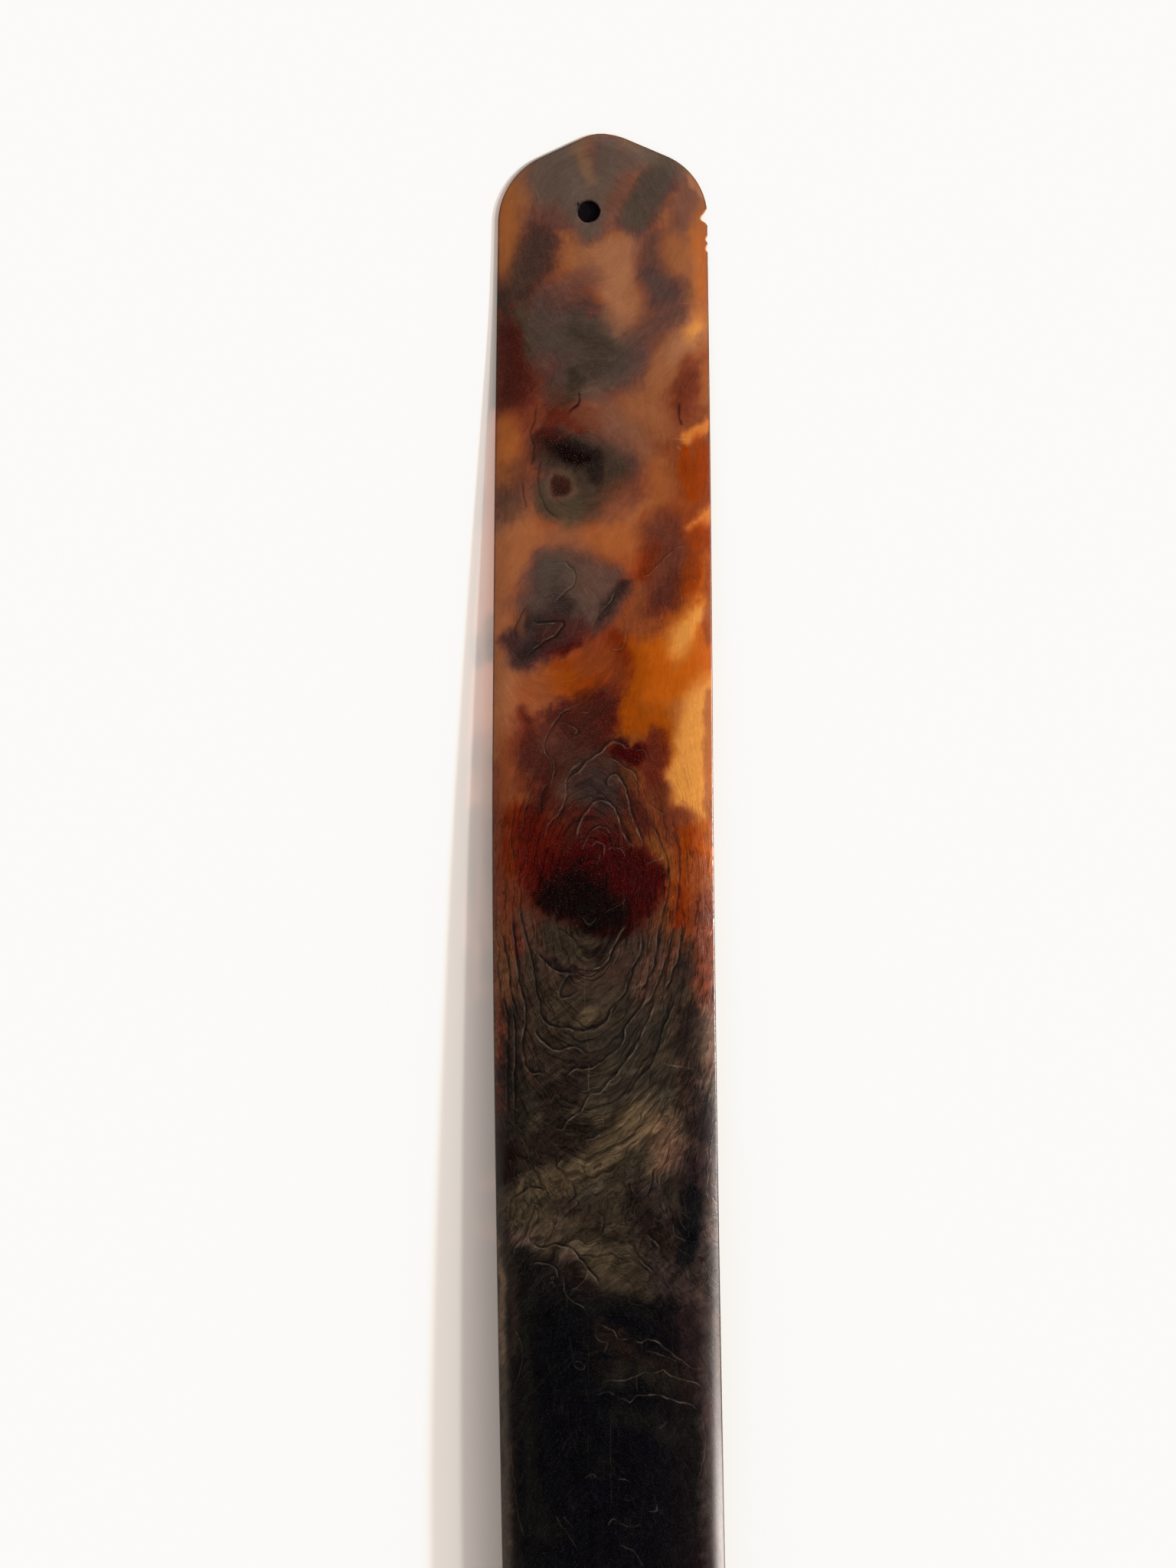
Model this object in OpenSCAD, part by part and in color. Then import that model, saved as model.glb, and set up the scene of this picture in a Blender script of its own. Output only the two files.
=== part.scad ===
// Paper folder (bone folder) cut and polished from one thick plate of mottled horn.
// It lies flat with its length along Y: the pointed end with the hanging hole is at +Y and the
// round folding end at -Y. X runs across it and Z is up. The origin is the middle of the footprint
// at the height of the table. All sizes are in millimetres.

/* [Size] */
// Length from the pointed end to the round end
length = 300; // [240:5:360]
// Width at the widest place
width = 30; // [26:1:36]
// Height of the crown over the edges at the thickest place
crown = 0.9; // [0.4:0.1:1.6]

/* [Point] */
// How far the apex of the point sits from the middle line, to the left when negative
apex_shift = -0.4; // [-2:0.1:2]
// Radius of the apex on its left half
apex_left = 5.5; // [2:0.5:10]
// Radius of the apex on its right half
apex_right = 9; // [2:0.5:12]
// Slope of the left shoulder, in degrees
slope_left = 25; // [18:1:32]
// Slope of the right shoulder, in degrees
slope_right = 23; // [18:1:32]
// Rounding radius of the left shoulder
shoulder_left = 10; // [6:0.5:10.5]
// Rounding radius of the right shoulder
shoulder_right = 9; // [6:0.5:10.5]
// How much narrower the blade is behind the point than at its widest, on each side
waist = 0.8; // [0:0.1:1.5]

/* [Bow] */
// How far the middle of the blade arches up off the table
bow = 2.6; // [0.5:0.1:4]
// How far the round end drifts to the right of the pointed end
side_drift = 4; // [0:0.5:6]

/* [Edges] */
// Thickness of the edge at the pointed end
edge_tip = 0.35; // [0.3:0.05:1]
// Thickness of the edge at the thick end
edge_heel = 1; // [0.6:0.1:1.6]
// Width of the rolled-off border on the left side, at the thick end
roll_left = 2; // [1.5:0.1:4]
// Width of the rolled-off border on the right side, at the thick end
roll_right = 3; // [1.5:0.1:4]
// How many times wider both borders are at the pointed end
roll_spread = 1.7; // [1:0.1:2]
// Height of that roll at the pointed end
roll_tip = 0.5; // [0.3:0.1:1]
// Height of that roll at the thick end
roll_heel = 0.85; // [0.5:0.05:1.6]

/* [Hole] */
// Diameter of the hanging hole
hole_d = 2.9; // [2:0.1:4]
// Distance from the pointed end to the middle of the hole
hole_from_tip = 10.7; // [9:0.1:14]
// How far the hole sits from the middle line, to the left when negative
hole_offset = -2; // [-4:0.1:4]

/* [Wear] */
// Three small chips out of the thin right edge beside the hole
chips = true; // [true, false]

/* [Hidden] */

k = width / 30;              // the end shapes grow with the width
heel_len = 17 * k;           // length of the rounded end
neck = 13 * k;               // where the point ends and the long sides begin
cols_top = 18;               // strips across the upper face
cols_under = 10;             // strips across the under face
lip = 0.12;                  // how far the edge's corners stand in from its middle

function share(v, a, b) = max(0, min(1, (v - a) / (b - a)));

// Middle line and half width at the distance s from the apex. The blade drifts sideways after its
// first third, and widens from the neck until it is 110 mm further on.
function middle(s) = -0.1 * k + side_drift * pow(share(s, 0.3 * length, length), 1.4);
function heel_share(s) = pow(max(0, 1 - pow(share(s, length - heel_len, length + 0.01), 2.2)), 1 / 2.2);
function half(s) = (width / 2 - waist * pow(1 - share(s, neck, neck + 110 * k), 2)) * heel_share(s);

// Half outline of the point: an apex arc, a straight slope and a shoulder arc that runs out
// parallel to the long side, which is w from the apex line.
function point_side(s, w, apex, slope, shoulder) =
    let (q = max(s, 0.03), s1 = apex * (1 - cos(slope)), x1 = apex * sin(slope),
         end = s1 + (w - x1) * tan(slope) + shoulder * tan(45 - slope / 2), s2 = end - shoulder * cos(slope))
    q < s1 ? sqrt(apex * apex - pow(apex - q, 2))
    : q < s2 ? x1 + (q - s1) / tan(slope)
    : q < end ? w - shoulder + sqrt(max(0, shoulder * shoulder - pow(end - q, 2))) : w;
apex_x = apex_shift * k;
function left(s) = s >= neck ? middle(s) - half(s)
    : apex_x - point_side(s, apex_x - middle(0) + half(0), apex_left * k, slope_left, shoulder_left * k);
function right(s) = s >= neck ? middle(s) + half(s)
    : apex_x + point_side(s, middle(0) + half(0) - apex_x, apex_right * k, slope_right, shoulder_right * k);

// Heights. roll() climbs from 0 at the edge to 1 where the border ends.
function roll(d, b) = d >= b ? 1 : d <= 0 ? 0 : 1 - pow(1 - d / b, 2);
function growth(s) = pow(sin(120 * s / length), 1.4);
function edge_t(s) = edge_tip + (edge_heel - edge_tip) * growth(s);
function lift(s) = 0.05 + 0.35 * growth(s);
// The under side leaves the table near the hole, is highest at two thirds and comes down near the end.
function under(s) =
    let (t = s / length, d = (t - 0.08) / 0.57, q = min(1, (d + sqrt(d * d + 0.001)) / 2), e = share(t, 0.65, 0.96))
    bow * (t < 0.65 ? 1 - pow(1 - q, 1.6) : pow(1 - e * e, 2)) - 0.08;
function swell(s) = let (q = share(s, 0.35 * length, 0.62 * length)) q * q * (3 - 2 * q);
// Distance in from the sloping edges of the point.
function tip_gap(x, s) =
    let (a = x > apex_x ? slope_right : slope_left, r = k * (x > apex_x ? apex_right : apex_left))
    cos(a) * (s + r * (1 / cos(a) - 1)) - sin(a) * abs(x - apex_x);
function heel_gap(x, s) =
    let (e = max(0, s - (length - heel_len)) / heel_len, u = abs(x - middle(s)) / (k * 14.9))
    s < length - heel_len ? 99 : (1 - pow(pow(e, 2.2) + pow(u, 2.2), 1 / 2.2)) * 15 * k;
function climb(x, s) =
    let (wider = 1 + (roll_spread - 1) * (1 - growth(s)))
    roll(x - left(s), roll_left * wider) * roll(right(s) - x, roll_right * wider)
    * (s < neck ? roll(0.35 + tip_gap(x, s), 5) : 1) * roll(0.35 + heel_gap(x, s), 3.2);
function bulge(x, s) =
    let (u = (2 * x - left(s) - right(s)) / (right(s) - left(s)), e = min(1, s / 14, (length - s) / 20))
    (1 - u * u) * max(0, e) * crown * (0.55 + 0.45 * growth(s));
function top(x, s) = under(s) + lift(s) + edge_t(s) + (roll_tip + (roll_heel - roll_tip) * swell(s)) * climb(x, s) + bulge(x, s);
function base(x, s) = under(s) + lift(s) * pow(max(0, 1 - min(x - left(s), right(s) - x) / 2.5), 2);

// Places along the blade, closer together at both ends.
stations = concat(
    [for (i = [0 : 14]) neck * pow(i / 14, 1.7)],
    [for (i = [1 : 30]) neck + (length - heel_len - neck) * i / 30],
    [for (a = [8 : 8 : 80]) length - heel_len + heel_len * sin(a)],
    [for (a = [85, 88.5, 90]) length - heel_len + heel_len * sin(a)]);

// Strips are narrow near the edges and wide in the middle.
function spread(j, n) = let (u = 2 * j / n - 1) sin(90 * u) * 0.6 + u * 0.4;

function row(x, s) = [x, length / 2 - s];
function ring(s) =
    let (l = left(s), r = right(s), m = (l + r) / 2, w = (r - l) / 2 - lip,
         zl = (top(l, s) + base(l, s)) / 2, zr = (top(r, s) + base(r, s)) / 2)
    concat(
        [for (j = [0 : cols_under]) let (x = m + w * spread(j, cols_under)) concat(row(x, s), base(x, s))],
        [concat(row(r, s), zr)],
        [for (j = [cols_top : -1 : 0]) let (x = m + w * spread(j, cols_top)) concat(row(x, s), top(x, s))],
        [concat(row(l, s), zl)]);

rings = [for (s = stations) ring(s)];
n = len(rings[0]);
x_low = min([for (s = stations) left(s)]);
x_high = max([for (s = stations) right(s)]);
x_mid = (x_low + x_high) / 2;

// The whole plate before it is bored, chipped and ground flat where it rests.
module plate() {
    polyhedron(
        points = [for (g = rings) each g],
        faces = concat(
            [[for (j = [0 : n - 1]) j]],
            [for (i = [0 : len(rings) - 2], j = [0 : n - 1]) let (b = (j + 1) % n) [i * n + j, (i + 1) * n + j, (i + 1) * n + b]],
            [for (i = [0 : len(rings) - 2], j = [0 : n - 1]) let (b = (j + 1) % n) [i * n + j, (i + 1) * n + b, i * n + b]],
            [[for (j = [n - 1 : -1 : 0]) (len(rings) - 1) * n + j]]));
}

// A chip bitten out of the right edge: its place from the tip, its length and its depth.
module chip(s, long, deep, skew) {
    r = right(s);
    translate([0, 0, -1])
        linear_extrude(height = 8)
            polygon([[r + 1.5, length / 2 - s + long / 2 + 0.2], [r + 0.05, length / 2 - s + long / 2],
                     [r - deep, length / 2 - s + skew], [r - deep * 0.9, length / 2 - s + skew - 0.2],
                     [r + 0.05, length / 2 - s - long / 2], [r + 1.5, length / 2 - s - long / 2 - 0.2]]);
}

module blade() {
    color([0.42, 0.24, 0.12])
        translate([-x_mid, 0, 0])
            difference() {
                plate();
                // rests ground flat at both ends
                translate([-60, -length, -10]) cube([120, 2 * length, 10]);
                // hanging hole
                translate([hole_offset, length / 2 - hole_from_tip, -1]) cylinder(h = 12, d = hole_d, $fn = 96);
                if (chips) {
                    chip(11.5, 1.7, 0.8, -0.3);
                    chip(14.4, 1.2, 0.25, 0.05);
                    chip(15.6, 1.1, 0.25, 0);
                }
            }
}

blade();
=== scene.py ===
import math

import bmesh
import bpy
import numpy as np
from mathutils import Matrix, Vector


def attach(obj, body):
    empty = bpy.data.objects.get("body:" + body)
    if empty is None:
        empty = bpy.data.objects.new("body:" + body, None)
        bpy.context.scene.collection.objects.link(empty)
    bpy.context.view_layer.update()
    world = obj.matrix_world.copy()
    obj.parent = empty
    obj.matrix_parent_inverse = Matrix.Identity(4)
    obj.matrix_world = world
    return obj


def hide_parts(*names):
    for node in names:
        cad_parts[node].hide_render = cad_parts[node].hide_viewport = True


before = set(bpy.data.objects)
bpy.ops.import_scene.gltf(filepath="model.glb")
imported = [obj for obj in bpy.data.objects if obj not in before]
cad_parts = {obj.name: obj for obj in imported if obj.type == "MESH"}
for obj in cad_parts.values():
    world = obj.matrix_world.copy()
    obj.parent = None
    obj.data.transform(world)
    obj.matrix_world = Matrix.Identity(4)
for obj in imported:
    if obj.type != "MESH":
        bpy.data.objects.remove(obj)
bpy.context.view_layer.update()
scene = bpy.context.scene
MM = 0.001

# ---------------------------------------------------------------------------------------------
# 1. Shape, in millimetres. s runs from the pointed end down the blade, x across it from the
#    middle line of the pointed end. The laws are those of the CAD plate, with the same numbers.
# ---------------------------------------------------------------------------------------------
LENGTH, WIDTH, SIDE_DRIFT, BOW, CROWN, WAIST = 300.0, 30.0, 4.0, 2.6, 0.9, 0.8
APEX_X, APEX_L, APEX_R, SLOPE_L, SLOPE_R, SHOULDER_L, SHOULDER_R = -0.4, 5.5, 9.0, 25.0, 23.0, 10.0, 9.0
EDGE_TIP, EDGE_HEEL = 0.35, 1.0
ROLL_L, ROLL_R, ROLL_SPREAD, ROLL_TIP, ROLL_HEEL = 2.0, 3.0, 1.7, 0.5, 0.85
HEEL, NECK = 17.0, 13.0
HOLE_X, HOLE_S, HOLE_R = -2.0, 10.7, 1.45


def ramp(a, b, v):
    """0 at a, 1 at b, smooth between."""
    q = np.clip((np.asarray(v, float) - a) / (b - a), 0, 1)
    return q * q * (3 - 2 * q)


def share(v, a, b):
    return np.clip((np.asarray(v, float) - a) / (b - a), 0, 1)


def middle(s):
    return -0.1 + SIDE_DRIFT * share(s, 0.3 * LENGTH, LENGTH) ** 1.4


def half(s):
    heel = np.maximum(0, 1 - share(s, LENGTH - HEEL, LENGTH + 0.01) ** 2.2) ** (1 / 2.2)
    return (WIDTH / 2 - WAIST * (1 - share(s, NECK, NECK + 110)) ** 2) * heel


def point_side(s, w, apex, slope, shoulder):
    """Half outline of the point: apex arc, straight slope, shoulder arc."""
    q, a = np.maximum(s, 0.03), math.radians(slope)
    s1, x1 = apex * (1 - math.cos(a)), apex * math.sin(a)
    end = s1 + (w - x1) * math.tan(a) + shoulder * math.tan(math.pi / 4 - a / 2)
    s2 = end - shoulder * math.cos(a)
    return np.where(q < s1, np.sqrt(np.maximum(0, apex ** 2 - (apex - q) ** 2)),
                    np.where(q < s2, x1 + (q - s1) / math.tan(a),
                             np.where(q < end, w - shoulder + np.sqrt(np.maximum(0, shoulder ** 2 - (end - q) ** 2)), w)))


def left(s):
    w = APEX_X - middle(0) + half(0)
    return np.where(s >= NECK, middle(s) - half(s), APEX_X - point_side(s, w, APEX_L, SLOPE_L, SHOULDER_L))


def right(s):
    w = middle(0) + half(0) - APEX_X
    return np.where(s >= NECK, middle(s) + half(s), APEX_X + point_side(s, w, APEX_R, SLOPE_R, SHOULDER_R))


def roll(d, b):
    q = np.clip(d / b, 0, 1)
    return 1 - (1 - q) ** 2


def growth(s):
    return np.sin(np.radians(120 * np.clip(s, 0, LENGTH) / LENGTH)) ** 1.4


def lift(s):
    return 0.05 + 0.35 * growth(s)


def under(s):
    t = s / LENGTH
    d = (t - 0.08) / 0.57
    q = np.minimum(1, (d + np.sqrt(d * d + 0.001)) / 2)
    e = share(t, 0.65, 0.96)
    return BOW * np.where(t < 0.65, 1 - (1 - q) ** 1.6, (1 - e * e) ** 2) - 0.08


def tip_gap(x, s):
    """Distance in from the sloping edges of the point."""
    a = np.radians(np.where(x > APEX_X, SLOPE_R, SLOPE_L))
    r = np.where(x > APEX_X, APEX_R, APEX_L)
    return np.cos(a) * (s + r * (1 / np.cos(a) - 1)) - np.sin(a) * np.abs(x - APEX_X)


def swell(s):
    return ramp(0.35 * LENGTH, 0.62 * LENGTH, s)


def climb(x, s):
    e = np.maximum(0, s - (LENGTH - HEEL)) / HEEL
    u = np.abs(x - middle(s)) / 14.9
    heel_gap = np.where(s < LENGTH - HEEL, 99.0, (1 - (e ** 2.2 + u ** 2.2) ** (1 / 2.2)) * 15)
    wider = 1 + (ROLL_SPREAD - 1) * (1 - growth(s))
    return (roll(x - left(s), ROLL_L * wider) * roll(right(s) - x, ROLL_R * wider)
            * np.where(s < NECK, roll(0.35 + tip_gap(x, s), 5), 1) * roll(0.35 + heel_gap, 3.2))


def bulge(x, s):
    w = np.maximum(right(s) - left(s), 1e-3)
    u = (2 * x - left(s) - right(s)) / w
    e = np.clip(np.minimum(s / 14, (LENGTH - s) / 20), 0, 1)
    return (1 - u * u) * e * CROWN * (0.55 + 0.45 * growth(s))


def top(x, s):
    return (under(s) + lift(s) + EDGE_TIP + (EDGE_HEEL - EDGE_TIP) * growth(s)
            + (ROLL_TIP + (ROLL_HEEL - ROLL_TIP) * swell(s)) * climb(x, s) + bulge(x, s))


def base(x, s):
    d = np.minimum(x - left(s), right(s) - x)
    return np.maximum(under(s) + lift(s) * np.maximum(0, 1 - d / 2.5) ** 2, 0)


# ---------------------------------------------------------------------------------------------
# 2. Repeatable noise.
# ---------------------------------------------------------------------------------------------
def noise(x, y, seed=0):
    """Gradient noise, about -1 to 1."""
    x, y = np.asarray(x, float), np.asarray(y, float)
    x0, y0 = np.floor(x).astype(np.int64), np.floor(y).astype(np.int64)
    fx, fy = x - x0, y - y0

    def corner(i, j):
        h = ((x0 + i) * 374761393 + (y0 + j) * 668265263 + seed * 974634777) & 0xFFFFFFFF
        h = ((h ^ (h >> 13)) * 1274126177) & 0xFFFFFFFF
        a = (h ^ (h >> 16)) / 4294967296.0 * 2 * math.pi
        return np.cos(a) * (fx - i) + np.sin(a) * (fy - j)

    u, w = fx ** 3 * (fx * (fx * 6 - 15) + 10), fy ** 3 * (fy * (fy * 6 - 15) + 10)
    a = corner(0, 0) * (1 - u) + corner(1, 0) * u
    b = corner(0, 1) * (1 - u) + corner(1, 1) * u
    return 1.5 * (a * (1 - w) + b * w)


def cloud(x, y, seed=0, octaves=4, fall=0.5):
    total, amp = 0, 1.0
    for o in range(octaves):
        total = total + amp * noise(x * 2 ** o, y * 2 ** o, seed + 17 * o)
        amp *= fall
    return total


# ---------------------------------------------------------------------------------------------
# 3. Where the pigment lies, drawn in millimetres. Each patch is a soft brush stroke, and
#    later strokes lie over earlier ones.
# ---------------------------------------------------------------------------------------------
# The pigments of the horn, in sRGB. The olive-greys of the upper part are partly the horn's own colour and partly a
# painted sheen of its satin surface.
HUES = {
    "honey": (205, 140, 65),
    "gold": (190, 115, 50),
    "sun": (175, 85, 15),
    "amber": (150, 70, 10),
    "orange": (135, 52, 8),
    "tan": (142, 88, 54),
    "sand": (154, 104, 72),
    "caramel": (144, 82, 42),
    "burnt": (125, 65, 35),
    "copper": (112, 54, 34),
    "sienna": (95, 44, 26),
    "rust": (105, 34, 8),
    "brick": (85, 32, 20),
    "maroon": (65, 26, 20),
    "blood": (78, 17, 9),
    "oxblood": (54, 8, 6),
    "core": (18, 6, 5),
    "taupe": (90, 76, 66),
    "rose": (108, 72, 58),
    "mauve": (92, 62, 52),
    "umber": (76, 52, 42),
    "soot": (60, 44, 36),
    "bog": (54, 44, 34),
    "olive": (64, 54, 40),
    "moss": (80, 66, 48),
    "smoke": (44, 34, 28),
    "ash": (46, 40, 32),
    "coal": (33, 24, 20),
    "ink": (21, 19, 17),
    "jet": (12, 11, 13),
    "slate": (74, 62, 53),
    "plum": (36, 25, 25),
    "lilac": (52, 41, 38),
    "rim": (74, 58, 52),
    "dust": (118, 92, 70),
    "hazel": (108, 68, 42),
    "khaki": (98, 78, 58),
    "bister": (60, 36, 26),
    "peat": (31, 30, 24),
}
# Ground colours down the blade: distance from the tip, then the left, middle and right pigment.
GROUND = [
    (0, "dust", "rose", "dust"),
    (14, "tan", "tan", "tan"),
    (22, "copper", "burnt", "sand"),
    (30, "brick", "mauve", "caramel"),
    (38, "copper", "copper", "burnt"),
    # the paler left column from 46 to 82 mm is partly painted light, lightened against the shade on the left slope of
    # the crown
    (46, "tan", "copper", "burnt"),
    (56, "sand", "burnt", "orange"),
    (66, "sand", "copper", "sun"),
    (74, "sand", "orange", "gold"),
    (82, "tan", "brick", "gold"),
    (92, "caramel", "maroon", "gold"),
    (102, "copper", "oxblood", "gold"),
    (110, "hazel", "soot", "burnt"),
    (122, "hazel", "ash", "khaki"),
    (134, "coal", "ash", "soot"),
    (146, "smoke", "ash", "soot"),
    (152, "smoke", "coal", "lilac"),
    (158, "ink", "jet", "plum"),
    (172, "ink", "jet", "plum"),
    (195, "ink", "jet", "plum"),
    (225, "coal", "ink", "plum"),
    (250, "smoke", "coal", "smoke"),
    (275, "maroon", "smoke", "soot"),
    (300, "sienna", "maroon", "sienna"),
]
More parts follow.
